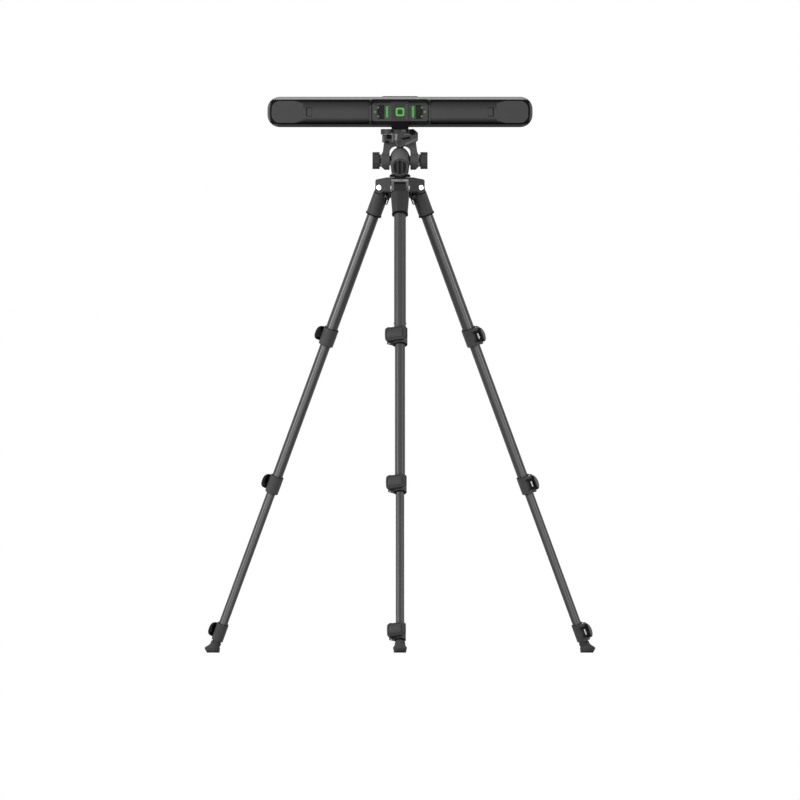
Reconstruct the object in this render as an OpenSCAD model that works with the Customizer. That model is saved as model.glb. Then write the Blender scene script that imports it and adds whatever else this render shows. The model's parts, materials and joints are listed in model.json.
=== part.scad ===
// Optical tracking bar of a 3-D scanner on a four-section tripod with a three-way head.
// X runs along the bar, -Y is the side with the control panel, Z is up, and the feet stand at Z = 0.
// The front leg points to -Y, and the stand axis lies behind the middle of the footprint.

/* [Tracker bar] */
// Length of the bar over its rounded ends
bar_l = 570; // [520:5:700]
// Height of the bar
bar_h = 65.5; // [62:0.5:74]
// Depth of the bar from the control side to the camera side
bar_d = 84; // [80:1:110]
// Corner radius of the bar seen from the control side
bar_corner = 26.5; // [20:0.5:29]
// Thickness of the housing walls
wall = 3; // [2:0.25:4]
// Radius of the rounded edge round the control side and the camera side
rim_r = 6; // [3:0.5:8]
// Width of the rim that is left round the grip pockets
rim_w = 6.7; // [5:0.1:8]
// Depth of the pockets in the control side
pocket_depth = 10; // [9:0.5:14]
// Width of the dark groove round each end pad
groove_w = 2; // [1:0.25:3]

/* [Grips and ports] */
// Length of an end pad at its full height
pad_l = 57; // [45:1:63]
// Length over which an end pad narrows to the strip
neck_l = 17; // [10:1:22]
// Height of the strip between end pad and control panel
strip_h = 33; // [30:0.5:40]
// Radius of the rounded edges of the strip
strip_r = 5; // [3:0.5:5.5]
// Distance from the end of the bar to the outer edge of a port
port_end = 85; // [80:1:100]
// Width of a port opening
port_w = 11; // [10:0.5:14]
// Height of a port opening
port_h = 18.4; // [16:0.2:20]
// Thickness of a port flap
flap_t = 2; // [1.5:0.1:2.5]
// Width of a port socket
socket_w = 9; // [8:0.5:9.5]
// Height of a port socket
socket_h = 14; // [10:0.5:15]
// Length of a port socket
socket_l = 6; // [5:0.5:6.5]

/* [Control panel] */
// Half width of the pocket that holds the control panel
panel_hw = 61.5; // [60:0.5:66]
// Width of the rim above and below the panel pocket
panel_rim = 5.4; // [4:0.1:7]
// Width of the ribs between the panel pocket and the grip pockets
rib_w = 4.5; // [3:0.5:8]
// Thickness of the panel's base plate
panel_base_t = 2; // [1.5:0.25:3]
// Height of the wings of the panel
wing_h = 39.5; // [36:0.5:42]
// How far the wings stand proud of the rim
wing_proud = 1; // [0:0.25:3]
// How far the centre block stands proud of the wings
block_proud = 3; // [2:0.25:5]
// Width of the centre block at its face
block_w = 35; // [32:0.5:40]
// Width of the slope on each side of the centre block
block_slope = 6; // [3:0.5:6]
// Depth of the dish in the centre block
dish_depth = 3; // [1:0.25:4]
// Outer width of the square light ring
ring_w = 18; // [15:0.5:20]
// Stroke of the light ring
ring_stroke = 3.2; // [2.5:0.1:4]
// Length of the light ring and button behind the dish floor
key_l = 4.5; // [3:0.25:5]
// Height of a light bar
light_bar_h = 25; // [20:0.5:28]
// Width of a light bar
light_bar_w = 4.6; // [3:0.1:5]
// Distance from the middle to a light bar
light_bar_x = 28; // [26.5:0.25:29]
// Diameter of a status dot
dot_d = 4.4; // [3:0.1:5]
// Distance from the middle to a status dot
dot_x = 54; // [53:0.25:54.5]
// Depth of the pockets that hold the lights
light_t = 1.6; // [1:0.1:2.5]
// Distance from the middle to the start of a vent
vent_x = 34; // [33:0.25:36]
// Length of a vent slot
vent_l = 14.5; // [12:0.5:15]
// Height of a vent slot
vent_slot = 2.2; // [1.5:0.1:3]
// Pitch of the vent slots
vent_pitch = 4.3; // [3.8:0.1:4.8]
// Depth of the vent slots
vent_depth = 6; // [3:0.5:6]

/* [Inside the bar] */
// Distance from the end of the bar to a camera axis
camera_end = 40; // [37:1:45]
// Diameter of a camera window
window_d = 40; // [36:1:42]
// Thickness of a camera window
window_t = 2; // [1.5:0.25:2.5]
// Radial width of the ring of infrared emitters round a window
emitter_w = 5; // [4:0.5:5]
// Width of a camera body
camera_w = 44; // [40:1:46]
// Height of a camera body
camera_h = 40; // [34:1:44]
// Depth of a camera body
camera_d = 30; // [24:1:34]
// Diameter of a camera lens
lens_d = 34; // [28:1:36]
// Height of the beam that ties the two cameras together
beam_h = 32; // [26:1:36]
// Depth of the beam
beam_d = 16; // [12:1:20]
// Wall of the beam
beam_t = 2; // [1.5:0.25:3]
// Distance between a battery pack and the port beside it
battery_gap = 18; // [12:1:40]
// Height of a battery pack
battery_h = 38; // [30:1:44]
// Length of the main board
board_l = 150; // [120:1:180]
// Height of the main board
board_h = 40; // [34:1:46]
// Thickness of the main board
board_t = 1.6; // [1:0.1:2]
// Height of the largest chip on the main board
chip_t = 3; // [1.5:0.25:5]
// Width of the top cover
cover_w = 80; // [60:1:100]
// Depth of the top cover
cover_d = 40; // [30:1:46]
// Height of the top cover above the bar
cover_t = 1.3; // [1:0.1:4]
// Diameter of a housing screw's head
screw_head_d = 6; // [5:0.25:7]
// Diameter of a housing screw
screw_d = 3; // [2.5:0.1:3.5]
// Diameter of a panel screw's head
panel_screw_d = 2.8; // [2:0.1:3]

/* [Head] */
// Width of the foot under the bar
foot_w = 37; // [34:0.5:40]
// Thickness of the foot under the bar
foot_t = 3.6; // [3:0.1:6]
// Thickness of the foot's lip over the control side
lip_t = 4; // [3:0.25:6]
// Thickness of the quick-release plate
plate_t = 8; // [7:0.25:10]
// Depth of the quick-release plate
plate_d = 42; // [38:0.5:46]
// Thickness of the table under the quick-release plate
table_t = 4.5; // [4:0.25:5]
// Half width of the clamp
clamp_hw = 38.7; // [37:0.1:42]
// Height of the top of the quick-release plate above the roll axis
plate_rise = 30.2; // [30:0.1:34]
// Height of the roll axis above the tilt axis
roll_rise = 38; // [37:0.25:42]
// Height of the tilt axis above the top of the spider
tilt_rise = 36; // [35:0.25:40]
// Diameter of the roll pin
roll_pin_d = 10; // [8:0.25:11]
// Thickness of the cheeks that carry the roll pin
cheek_t = 7.5; // [6:0.25:9]
// Depth of the yoke's bridge
bridge_d = 28; // [26:0.5:30]
// Height of the yoke's bridge
bridge_h = 11; // [9:0.25:11.5]
// Width of the opening in the yoke
yoke_gap = 44.6; // [44:0.2:47]
// Thickness of a yoke arm at the tilt axis
arm_t = 18.5; // [16:0.25:20]
// Radius of the lower end of a yoke arm
arm_r = 20; // [18:0.25:21]
// Diameter of the tilt trunnions
trunnion_d = 20; // [16:0.5:22]
// Length of a trunnion inside the pan body
trunnion_l = 7; // [5:0.25:8]
// Diameter of a tilt knob
tilt_knob_d = 37; // [34:0.5:40]
// Length of a tilt knob
tilt_knob_l = 15.5; // [13:0.25:18]
// Diameter of the pan knob
pan_knob_d = 36; // [32:0.5:38]
// Length of the pan knob
pan_knob_l = 13; // [10:0.25:15]
// Depth of the pan knob's axis below the tilt axis
pan_knob_drop = 14.5; // [13:0.25:15]
// Diameter of the pan axle
pan_axle_d = 16; // [12:0.5:17]
// Diameter of the pan base's flange
flange_d = 45; // [43:0.5:50]
// Diameter of the roll knob
roll_knob_d = 24; // [20:0.5:28]
// Travel of the power button
button_travel = 1.5; // [0.8:0.1:2]

/* [Spider and column] */
// Height of the spider's top above the leg hinges
spider_top = 22; // [21:0.25:26]
// Distance from the stand axis to a leg hinge
hinge_r = 41; // [40:0.5:46]
// Space between the two ears of a leg hinge
ear_gap = 26; // [24:0.5:27]
// Thickness of an ear
ear_t = 5.5; // [4.5:0.25:7]
// Radius of an ear round the hinge bolt
ear_r = 12; // [11:0.25:13]
// Distance from a hinge bolt to the flat on the outer side of its ears
ear_out = 9.6; // [8:0.2:11]
// Diameter of a hinge bolt
bolt_d = 8; // [6:0.25:9]
// Diameter of a hinge bolt's heads
bolt_head_d = 12.6; // [10:0.2:13]
// Thickness of a hinge bolt's heads
bolt_head_t = 2; // [1.5:0.25:3]
// Diameter of the spider's hub
hub_d = 46; // [42:0.5:48]
// Height of the hub below the leg hinges
hub_drop = 8; // [6:0.25:9]
// Diameter of the centre column
column_d = 25; // [22:0.5:27]
// Wall of the centre column
column_wall = 2; // [1.5:0.25:3]
// Length of the column below the leg hinges
column_l = 290; // [240:5:310]
// Diameter of the thread in the column's lower end
column_thread_d = 9.5; // [6:0.5:12]
// Depth of the thread in the column's lower end
column_thread_l = 14; // [10:0.5:20]
// Diameter of the column's locking knob
column_knob_d = 26; // [22:0.5:28]
// Length of the column's locking knob
column_knob_l = 16; // [12:0.5:20]

/* [Legs] */
// Lean of each leg from the vertical, in degrees
leg_lean = 23; // [20:0.5:26]
// Distance along the leg from the hinge to the lower end of the first clamp
upper_l = 367; // [360:1:400]
// Distance from the first clamp's lower end to the second one's
middle_l = 345; // [320:1:380]
// Distance from the second clamp's lower end to the third one's
lower_l = 345; // [320:1:380]
// Distance along the leg from the third clamp's lower end to the floor
foot_l = 29.4; // [28:0.2:40]
// Outer diameter of the uppermost tube
tube_d = 26; // [25:0.25:28]
// Wall of the leg tubes
tube_wall = 1.5; // [1.3:0.05:1.6]
// Running clearance between nested tubes
tube_gap = 0.25; // [0.2:0.01:0.35]
// Length of each tube that stays inside the tube above
engage_l = 62; // [50:1:70]
// Travel of each leg section
travel = 280; // [240:1:290]
// Width of the grooves along the tubes
tube_groove_w = 5; // [3:0.1:5.5]
// Depth of the grooves along the tubes
tube_groove_depth = 0.7; // [0.3:0.05:0.8]
// Length of a leg clamp
clamp_l = 37.4; // [34:0.2:42]
// Wall of a leg clamp
clamp_wall = 3.2; // [2.8:0.1:4]
// Thickness of a clamp lever
lever_t = 4.2; // [3:0.1:5]
// Turn of the clamp's hinge and lever about the leg, in degrees
lever_turn = 19; // [10:1:25]
// Diameter of a lever pin
lever_pin_d = 4; // [3:0.25:5]
// Height of the lever's and the clamp's knuckles
knuckle_l = 6; // [5:0.25:7]
// Distance along the leg from the hinge to the shoulder's lower end
shoulder_l = 64; // [60:0.5:70]
// Width of the shoulder below the ears, across the leg
shoulder_w = 38.4; // [37:0.2:40]
// Thickness of the shoulder below the ears, towards the stand
shoulder_t = 31.6; // [31:0.2:34]
// Diameter of the shoulder above its rim
shoulder_end_d = 33; // [32:0.2:36]
// Diameter of the rim at the shoulder's lower end
shoulder_rim_d = 35; // [34:0.2:38]
// Length of the tube's seat in the shoulder
tube_seat_l = 40; // [34:0.5:42]
// Width of the angle stop
stop_w = 18; // [14:0.5:20]
// How far the angle stop reaches inwards from the hinge's tongue
stop_reach = 9.4; // [8:0.2:10]
// Length of a boot's toe ahead of the leg axis
toe_l = 16; // [14:0.5:24]
// Length of a boot's heel behind the leg axis
heel_l = 15; // [12:0.5:18]
// Width of a boot
sole_w = 30; // [26:0.5:34]
// How far the sole is tucked in at the toe
toe_tuck = 6; // [3:0.5:8]
// How far the sole is tucked in at the sides
side_tuck = 2; // [1:0.25:4]
// Height of a boot's widest line above the floor
boot_wide_z = 9.5; // [8:0.25:11]
// Height of a boot's toe
toe_h = 13; // [12:0.5:16]
// Diameter of a boot's neck
boot_d = 23; // [21:0.25:25]

/* [Hidden] */
// Clearances: flush seats, moving pieces, pins in their holes, pieces fixed in each other
seat = 0.2;
run = 0.3;
fit = 0.06;
bond = 0.05;
// Overlap of joined shapes, and how far a cut runs past a face
thin = 0.05;
cut = 1;
$fn = 64;
hull_fn = 32;

// Heights of the axes, worked out from the length of a leg
leg_l = upper_l + middle_l + lower_l + foot_l;
hinge_z = leg_l * cos(leg_lean);
foot_r = hinge_r + leg_l * sin(leg_lean);
spider_z = hinge_z + spider_top;
tilt_z = spider_z + tilt_rise;
roll_z = tilt_z + roll_rise;
plate_z = roll_z + plate_rise;
bar_z = plate_z + foot_t + bar_h / 2;

// Legs: front, right and left, and the shift that centres the footprint on Y = 0
leg_turns = [-90, 30, 150];
reach_front = foot_r + toe_l;
reach_back = (foot_r + toe_l) * sin(30) + sole_w / 2 * cos(30);
stand_shift = (reach_front - reach_back) / 2;

// Planes of the bar, measured from its middle
rear_y = -bar_d / 2;
pocket_y = rear_y + pocket_depth;
cavity_y = pocket_y + wall;
front_y = bar_d / 2;
pocket_hh = bar_h / 2 - rim_w;
pad_hh = pocket_hh - groove_w;
panel_hh = bar_h / 2 - panel_rim;
grip_x = panel_hw + rib_w;
pad_x = bar_l / 2 - pad_l;
port_x = bar_l / 2 - port_end - port_w;
camera_x = bar_l / 2 - camera_end;
wing_y = rear_y - wing_proud;
block_y = wing_y - block_proud;
dish_y = block_y + dish_depth;
wing_hw = panel_hw - 4 * run;
block_hh = wing_h / 2;

// Corner radii, steps and rows of the control side
panel_round = 5;
wing_round = 5;
key_round = 2.2;
ring_round = 4.3;
dish_edge = 1;
light_proud = 0.3;
vent_rows = 3;
vent_step = 4;
panel_screw_gap = 3;
socket_shell = 1;
flap_axis_x = port_x + run + flap_t / 2;
flap_axis_y = rear_y + flap_t / 2;

// Inside the bar, its camera side and its top
emitter_r = window_d / 2 + seat;
emitter_inset = 0.6;
aperture_r = emitter_r + emitter_w + seat;
camera_front = camera_d / 2 + 1;
battery_x = grip_x + 10;
battery_l = port_x - battery_gap - battery_x;
chip_w = 18;
chip_pitch = 45;
cover_edge = 4.5;
screw_l = 12;
screw_xs = [70, bar_l / 2 - 95];
screw_hh = bar_h / 2 - rim_r - screw_head_d;

// Foot under the bar, and the post that ties it to the beam
lip_y = rear_y - 2 * seat;
lip_top = -block_hh - 2 * run;
foot_top = -bar_h / 2 - seat;
foot_drop = bar_h / 2 + foot_t;
post_w = 24;
post_d = 12;

// Clamp of the head
plate_bottom = plate_z - plate_t;
table_bottom = plate_bottom - table_t;
plate_hw = foot_w / 2 - 1;
plate_round = 8;
jaw_slope = 9;
roll_boss_r = roll_pin_d / 2 + 4;
cheek_y = bridge_d / 2 + run;
cheek_drop = 17;
cheek_corner = 5;
cheek_arm = 13;
lever_pivot = [-26, -plate_d / 2 + 3];
lever_pivot_d = 6;
lever_pivot_l = 8;
lever_eye_r = -lever_pivot[0] - plate_hw - run;
lever_over = 2.7;
lever_grip_w = 11;
lever_neck_d = 8.7;

// Yoke, pan body and their knobs
bridge_bottom = roll_rise - bridge_h * 0.73;
arm_x = yoke_gap / 2 + arm_t;
arm_flat = 12;
arm_low = 13;
arm_toe = 7.5;
arm_waist = 3.8;
yoke_shoulder = 6.5;
yoke_round = 13;
pan_hw = yoke_gap / 2 - run;
pan_neck_hw = pan_hw - 4;
pan_top_r = bridge_bottom - 2 * run;
pan_dome = pan_hw + 0.3;
pan_dome_turn = asin(pan_hw / pan_dome);
pan_bottom = spider_z + 7.6;
pan_axle_l = 14;
pan_cone_t = 2.4;
pan_boss_y = 26;
pan_collar = 1.5;
pan_stem_d = 8;
pan_stem_l = 10;
pan_slot_w = 5.6;
pan_slot_pitch = 10;
pan_slot_depth = pan_knob_l * 0.6;
pan_knob_rim = 2.5;
knob_groove_d = 6;
knob_groove_depth = 1.8;
knob_neck_l = 3;
knob_neck_d = 27;
knob_stem_l = 8;
knob_stem_d = 12;
roll_knob_l = 14;

// Spider, hinge bolts and column
roof_l = 28;
roof_fall = 7;
roof_round = 2.5;
knob_boss_z = 6;
knob_boss_y = hub_d / 2 + 7;
knob_boss_d = 16;
column_stem_d = 8;
bolt_slot_w = 1.6;
bolt_slot_depth = 1.2;
bolt_slot_l = bolt_head_d * 0.7;
plug_lip = 4;
plug_l = column_thread_l + 6;
plug_flange_d = column_d + 3;

// Legs: four nested tubes, and the places of their clamps along the leg
tube_step = 2 * (tube_wall + tube_gap);
function tube_od(k) = tube_d - (k - 1) * tube_step;
groove_turn = 91;
tube_top = shoulder_l - tube_seat_l;
clamp_ends = [upper_l, upper_l + middle_l, upper_l + middle_l + lower_l];
section_tops = [tube_top, upper_l - engage_l, upper_l + middle_l - engage_l];
clamp_lip = 8;
lever_gap = 0.8;
pin_in = 4;
pin_out = 4.5;
ear_round = pin_in + lever_gap - run;
knuckle_round = ear_round - 0.5;
lever_round = 5;
lever_tip_round = 9;
lever_root = 10;
lever_tip = 2;
lever_plate_h = clamp_l - knuckle_l;
function clamp_r(k) = tube_od(k) / 2 + clamp_wall;
function lever_pin(k) = [clamp_r(k) - pin_in, -clamp_r(k) - pin_out];

// Shoulder, angle stop and boot
shoulder_top = ear_r + 2.3;
shoulder_block = 14;
shoulder_rim = 3;
shoulder_gap = 1.2;
tongue_r = ear_r - 0.7;
tongue_w = ear_gap - 2 * run - seat;
tongue_root = 4;
stop_x = -tongue_r - run;
stop_top = 8;
stop_fall = 3.5;
stop_edge = 3;
stop_s = stop_top + stop_fall + 2 * stop_edge;
loop_l = 17;
loop_w = 6.6;
loop_t = 2.6;
loop_rim = 2;
loop_round = 3;
loop_x = -shoulder_t / 2 - run;
boot_top = clamp_ends[2] + 2.6;
boot_collar = 9;
boot_neck = 1.5;
boot_band = 3;
boot_top_tuck = 3;
ankle_w = 24;
ankle_l = 21;
sole_round = 9;
inner_tube_end = leg_l - 13;
inner_tube_top = boot_top - travel - engage_l + 2;

LEG_PARTS = ["shoulder", "angle_stop", "upper_section", "upper_lever", "middle_section", "middle_lever",
             "lower_section", "lower_lever", "foot_section"];

// Shared shapes

module rounded_rect(l, h, r) {
    square([l - 2 * r, h], center = true);
    square([l, h - 2 * r], center = true);
    for (x = [-1, 1], z = [-1, 1]) translate([x * (l / 2 - r), z * (h / 2 - r)]) circle(r);
}

// Extrudes an X-Z outline from y towards the control side
module towards_rear(y, t) {
    translate([0, y, 0]) rotate([90, 0, 0]) linear_extrude(t) children();
}

// Extrudes a Y-Z outline from x to the right
module along_x(x, l) {
    translate([x, 0, 0]) rotate([90, 0, 90]) linear_extrude(l) children();
}

module rod_x(x, l, d) {
    translate([x, 0, 0]) rotate([0, 90, 0]) cylinder(h = l, d = d);
}

module rod_y(y, l, d) {
    translate([0, y, 0]) rotate([-90, 0, 0]) cylinder(h = l, d = d);
}

module both_sides() {
    children();
    mirror([1, 0, 0]) children();
}

module at_stand() {
    translate([0, stand_shift, 0]) children();
}

module at_bar() {
    at_stand() translate([0, 0, bar_z]) children();
}

module at_roll() {
    at_stand() translate([0, 0, roll_z]) children();
}

module at_tilt() {
    at_stand() translate([0, 0, tilt_z]) children();
}

// Leg frame: the hinge at the origin, the leg along -Z, +X away from the stand
module at_leg(n) {
    at_stand() rotate([0, 0, leg_turns[n - 1]]) translate([hinge_r, 0, hinge_z])
        rotate([0, -leg_lean, 0]) children();
}

// Tracker bar

module bar_outline(inset) {
    rounded_rect(bar_l - 2 * inset, bar_h - 2 * inset, bar_corner - inset);
}

// Outer form of one half of the bar, from the seam to the rounded rim
module bar_half() {
    hull() {
        towards_rear(0, thin) bar_outline(0, $fn = hull_fn);
        for (a = [0:22.5:90])
            towards_rear(rear_y + rim_r * (1 - sin(a)) + thin, thin)
                bar_outline(rim_r * (1 - cos(a)), $fn = hull_fn);
    }
}

module grip_side(inset, x0) {
    intersection() {
        bar_outline(inset);
        translate([x0, -bar_h / 2]) square([bar_l, bar_h]);
    }
}

module post_slot() {
    translate([-post_w / 2 - seat, -post_d / 2 - seat, -bar_h / 2 - cut])
        cube([post_w + 2 * seat, post_d + 2 * seat, wall + 2 * cut]);
}

module rear_housing() {
    color("#3a3b3c") at_bar() difference() {
        bar_half();
        towards_rear(cut, cut - cavity_y) bar_outline(wall);
        both_sides() towards_rear(pocket_y, pocket_depth + cut) grip_side(rim_w, grip_x);
        towards_rear(pocket_y, pocket_depth + cut) rounded_rect(2 * panel_hw, 2 * panel_hh, panel_round);
        both_sides() towards_rear(cavity_y + cut, wall + 2 * cut) port_centre()
            square([socket_w + 2 * seat, socket_h + 2 * seat], center = true);
        post_slot();
    }
}

module front_housing() {
    color("#343536") at_bar() difference() {
        mirror([0, 1, 0]) bar_half();
        towards_rear(front_y - wall, front_y - wall + cut) bar_outline(wall);
        both_sides() translate([camera_x, 0, 0]) rod_y(0, front_y + cut, 2 * aperture_r);
        for (p = screw_places()) translate([p[0], 0, p[1]]) {
            rod_y(0, front_y + cut, screw_d + 2 * fit);
            rod_y(front_y - wall / 2, wall, screw_head_d + 2 * fit);
        }
        post_slot();
    }
}

function screw_places() = [for (x = screw_xs, i = [-1, 1], k = [-1, 1]) [i * x, k * screw_hh]];

module port_centre() {
    translate([port_x + port_w / 2, 0]) children();
}

// Right-hand grip: end pad, neck and strip, with the port's opening
module grip_panel() {
    neck_x = pad_x - neck_l;
    difference() {
        union() {
            towards_rear(pocket_y, pocket_depth) {
                grip_side(rim_w + groove_w, pad_x);
                polygon([[neck_x, -strip_h / 2], [pad_x + thin, -pad_hh], [pad_x + thin, pad_hh],
                         [neck_x, strip_h / 2]]);
            }
            along_x(grip_x + seat, neck_x - grip_x + thin) {
                translate([rear_y + strip_r, -strip_h / 2]) square([pocket_depth - strip_r, strip_h]);
                translate([rear_y, strip_r - strip_h / 2]) square([strip_r + thin, strip_h - 2 * strip_r]);
                for (i = [-1, 1]) translate([rear_y + strip_r, i * (strip_h / 2 - strip_r)])
                    circle(strip_r);
            }
        }
        towards_rear(pocket_y + cut, pocket_depth + 2 * cut) port_centre()
            square([port_w, port_h], center = true);
    }
}

module grip_panel_left() {
    color("#4b4c4d") at_bar() mirror([1, 0, 0]) grip_panel();
}

module grip_panel_right() {
    color("#4b4c4d") at_bar() grip_panel();
}

// Flap with its hinge along the inner edge
module port_flap() {
    flap_h = port_h - 2 * run;
    translate([flap_axis_x, flap_axis_y, -flap_h / 2]) cylinder(h = flap_h, d = flap_t);
    translate([flap_axis_x, rear_y, -flap_h / 2])
        cube([port_x + port_w - run - flap_axis_x, flap_t, flap_h]);
}

module port_flap_left() {
    color("#505152") at_bar() mirror([1, 0, 0]) port_flap();
}

module port_flap_right() {
    color("#505152") at_bar() port_flap();
}

// Sockets with a tongue inside a shell, let into the wall behind each port
module port_sockets() {
    color("#1c1c1e") at_bar() both_sides() difference() {
        towards_rear(cavity_y + socket_shell, socket_l) port_centre()
            square([socket_w, socket_h], center = true);
        towards_rear(cavity_y, socket_l) port_centre() difference() {
            square([socket_w - 2 * socket_shell, socket_h - 2 * socket_shell], center = true);
            square([socket_shell, socket_h - 5 * socket_shell], center = true);
        }
    }
}

module vent_slots() {
    for (i = [-vent_rows:vent_rows]) {
        row_l = abs(i) > 1 ? vent_l - vent_step : vent_l;
        translate([vent_x, i * vent_pitch - vent_slot / 2]) square([row_l, vent_slot]);
    }
}

module light_bar(clear) {
    rounded_rect(light_bar_w + 2 * clear, light_bar_h + 2 * clear, light_bar_w / 2 - thin);
}

module panel_screw_spots() {
    screw_x = vent_x + vent_l - panel_screw_d / 2;
    screw_z = 1.5 * vent_pitch + panel_screw_gap;
    for (k = [-1, 1]) translate([screw_x, k * screw_z]) children();
}

// Base plate, two wings with vents and a raised centre block with a square dish
module control_panel() {
    ring_hole = ring_w + 2 * seat;
    wing_t = pocket_y - panel_base_t - wing_y;
    color("#454647") at_bar() difference() {
        union() {
            towards_rear(pocket_y, panel_base_t)
                rounded_rect(2 * (panel_hw - run), 2 * (panel_hh - run), panel_round);
            towards_rear(wing_y + wing_t, wing_t) rounded_rect(2 * wing_hw, wing_h, wing_round);
            translate([0, 0, -block_hh]) linear_extrude(2 * block_hh)
                polygon([[-block_w / 2 - block_slope, wing_y + thin], [-block_w / 2, block_y],
                         [block_w / 2, block_y], [block_w / 2 + block_slope, wing_y + thin]]);
        }
        translate([0, dish_y, 0]) rotate([90, 45, 0])
            cylinder(h = dish_depth + thin, d1 = (ring_w + dish_edge) * sqrt(2),
                     d2 = (block_w - 2 * dish_edge) * sqrt(2), $fn = 4);
        towards_rear(pocket_y + cut, pocket_y - dish_y + 2 * cut)
            rounded_rect(ring_hole, ring_hole, ring_round + seat);
        both_sides() {
            towards_rear(wing_y + vent_depth, vent_depth + cut) vent_slots();
            towards_rear(wing_y + light_t, light_t + cut) {
                translate([light_bar_x, 0]) light_bar(seat);
                translate([dot_x, 0]) circle(d = dot_d + 2 * seat);
                panel_screw_spots() circle(d = panel_screw_d + 2 * bond);
            }
        }
    }
}

// Square key that is flush with the dish when pressed
module power_button() {
    key_w = ring_w - 2 * ring_stroke - 2 * run;
    color("#2f3a2f") at_bar() towards_rear(dish_y + key_l, key_l + button_travel)
        rounded_rect(key_w, key_w, key_round);
}

module status_lights() {
    ring_in = ring_w - 2 * ring_stroke;
    color("#4fae46") at_bar() {
        towards_rear(dish_y + key_l, key_l + light_proud) difference() {
            rounded_rect(ring_w, ring_w, ring_round);
            rounded_rect(ring_in, ring_in, key_round + run);
        }
        both_sides() towards_rear(wing_y + light_t, light_t + light_proud) {
            translate([light_bar_x, 0]) light_bar(0);
            translate([dot_x, 0]) circle(d = dot_d);
        }
    }
}

module camera_windows() {
    color("#15161a") at_bar() both_sides() translate([camera_x, 0, 0])
        rod_y(front_y - wall, window_t, window_d);
}

module emitter_rings() {
    color("#2a1216") at_bar() both_sides() translate([camera_x, 0, 0]) difference() {
        rod_y(front_y - wall, wall - emitter_inset, 2 * (emitter_r + emitter_w));
        rod_y(front_y - wall - cut, wall + 2 * cut, 2 * emitter_r);
    }
}

module camera_modules() {
    lens_l = front_y - wall - seat - camera_front;
    color("#26272b") at_bar() both_sides() translate([camera_x, 0, 0]) {
        translate([-camera_w / 2, camera_front - camera_d, -camera_h / 2])
            cube([camera_w, camera_d, camera_h]);
        rod_y(camera_front - thin, lens_l + thin, lens_d);
    }
}

module baseline_beam() {
    beam_l = 2 * (camera_x - camera_w / 2 - seat);
    color("#2b2c2e") at_bar() along_x(-beam_l / 2, beam_l) difference() {
        square([beam_d, beam_h], center = true);
        square([beam_d - 2 * beam_t, beam_h - 2 * beam_t], center = true);
    }
}

module battery_packs() {
    battery_t = -beam_d / 2 - cavity_y - 2 * seat;
    color("#39537a") at_bar() both_sides() translate([battery_x, cavity_y + seat, -battery_h / 2])
        cube([battery_l, battery_t, battery_h]);
}

// Board on the camera side of the beam, with three chips
module main_board() {
    board_y = beam_d / 2 + seat;
    color("#2c5a3a") at_bar() {
        translate([-board_l / 2, board_y, -board_h / 2]) cube([board_l, board_t, board_h]);
        for (i = [-1, 0, 1])
            translate([i * chip_pitch - chip_w / 2, board_y + board_t - thin, -chip_w / 2])
                cube([chip_w, chip_t, chip_w]);
    }
}

module top_cover() {
    low = bar_h / 2;
    high = low + cover_t;
    foot_hw = cover_w / 2;
    top_hw = foot_hw - cover_edge;
    color("#3f4041") at_bar() towards_rear(cover_d / 2, cover_d)
        polygon([[-foot_hw, low], [foot_hw, low], [top_hw, high], [-top_hw, high]]);
}

module housing_screws() {
    color("#9a9c9e") at_bar() {
        for (p = screw_places()) translate([p[0], 0, p[1]]) {
            rod_y(front_y - screw_l, screw_l - wall / 2 + thin, screw_d);
            rod_y(front_y - wall / 2, wall / 2, screw_head_d);
        }
        both_sides() towards_rear(wing_y + light_t, light_t) panel_screw_spots() circle(d = panel_screw_d);
    }
}

// Foot under the bar, with a lip over the control side and a post up to the beam
module mount_foot() {
    color("#151515") at_bar() {
        along_x(-foot_w / 2, foot_w)
            polygon([[block_y, lip_top], [lip_y, lip_top], [lip_y, foot_top], [plate_d / 2, foot_top],
                     [plate_d / 2, -foot_drop], [block_y + lip_t, -foot_drop],
                     [block_y, foot_top - foot_t / 3]]);
        translate([-post_w / 2, -post_d / 2, -foot_drop + thin])
            cube([post_w, post_d, foot_drop - thin - beam_h / 2 - seat]);
    }
}

// Three-way head

module quick_release_plate() {
    color("#2d2e2f") at_stand() translate([0, 0, plate_bottom]) linear_extrude(plate_t)
        rounded_rect(2 * plate_hw, plate_d, plate_round);
}

// Outline of the front cheek about the roll axis, with the lever's arm on the left
module front_cheek_outline() {
    top = table_bottom - roll_z;
    low = top - cheek_drop;
    circle(roll_boss_r);
    polygon([[-roll_boss_r, 0], [cheek_corner, -roll_boss_r + 1.5], [clamp_hw - cheek_corner, low],
             [clamp_hw, low + cheek_corner], [clamp_hw, top + thin], [-clamp_hw, top - 2 * run],
             [-clamp_hw + cheek_corner, low], [-roll_boss_r - cheek_arm, low]]);
}

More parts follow.
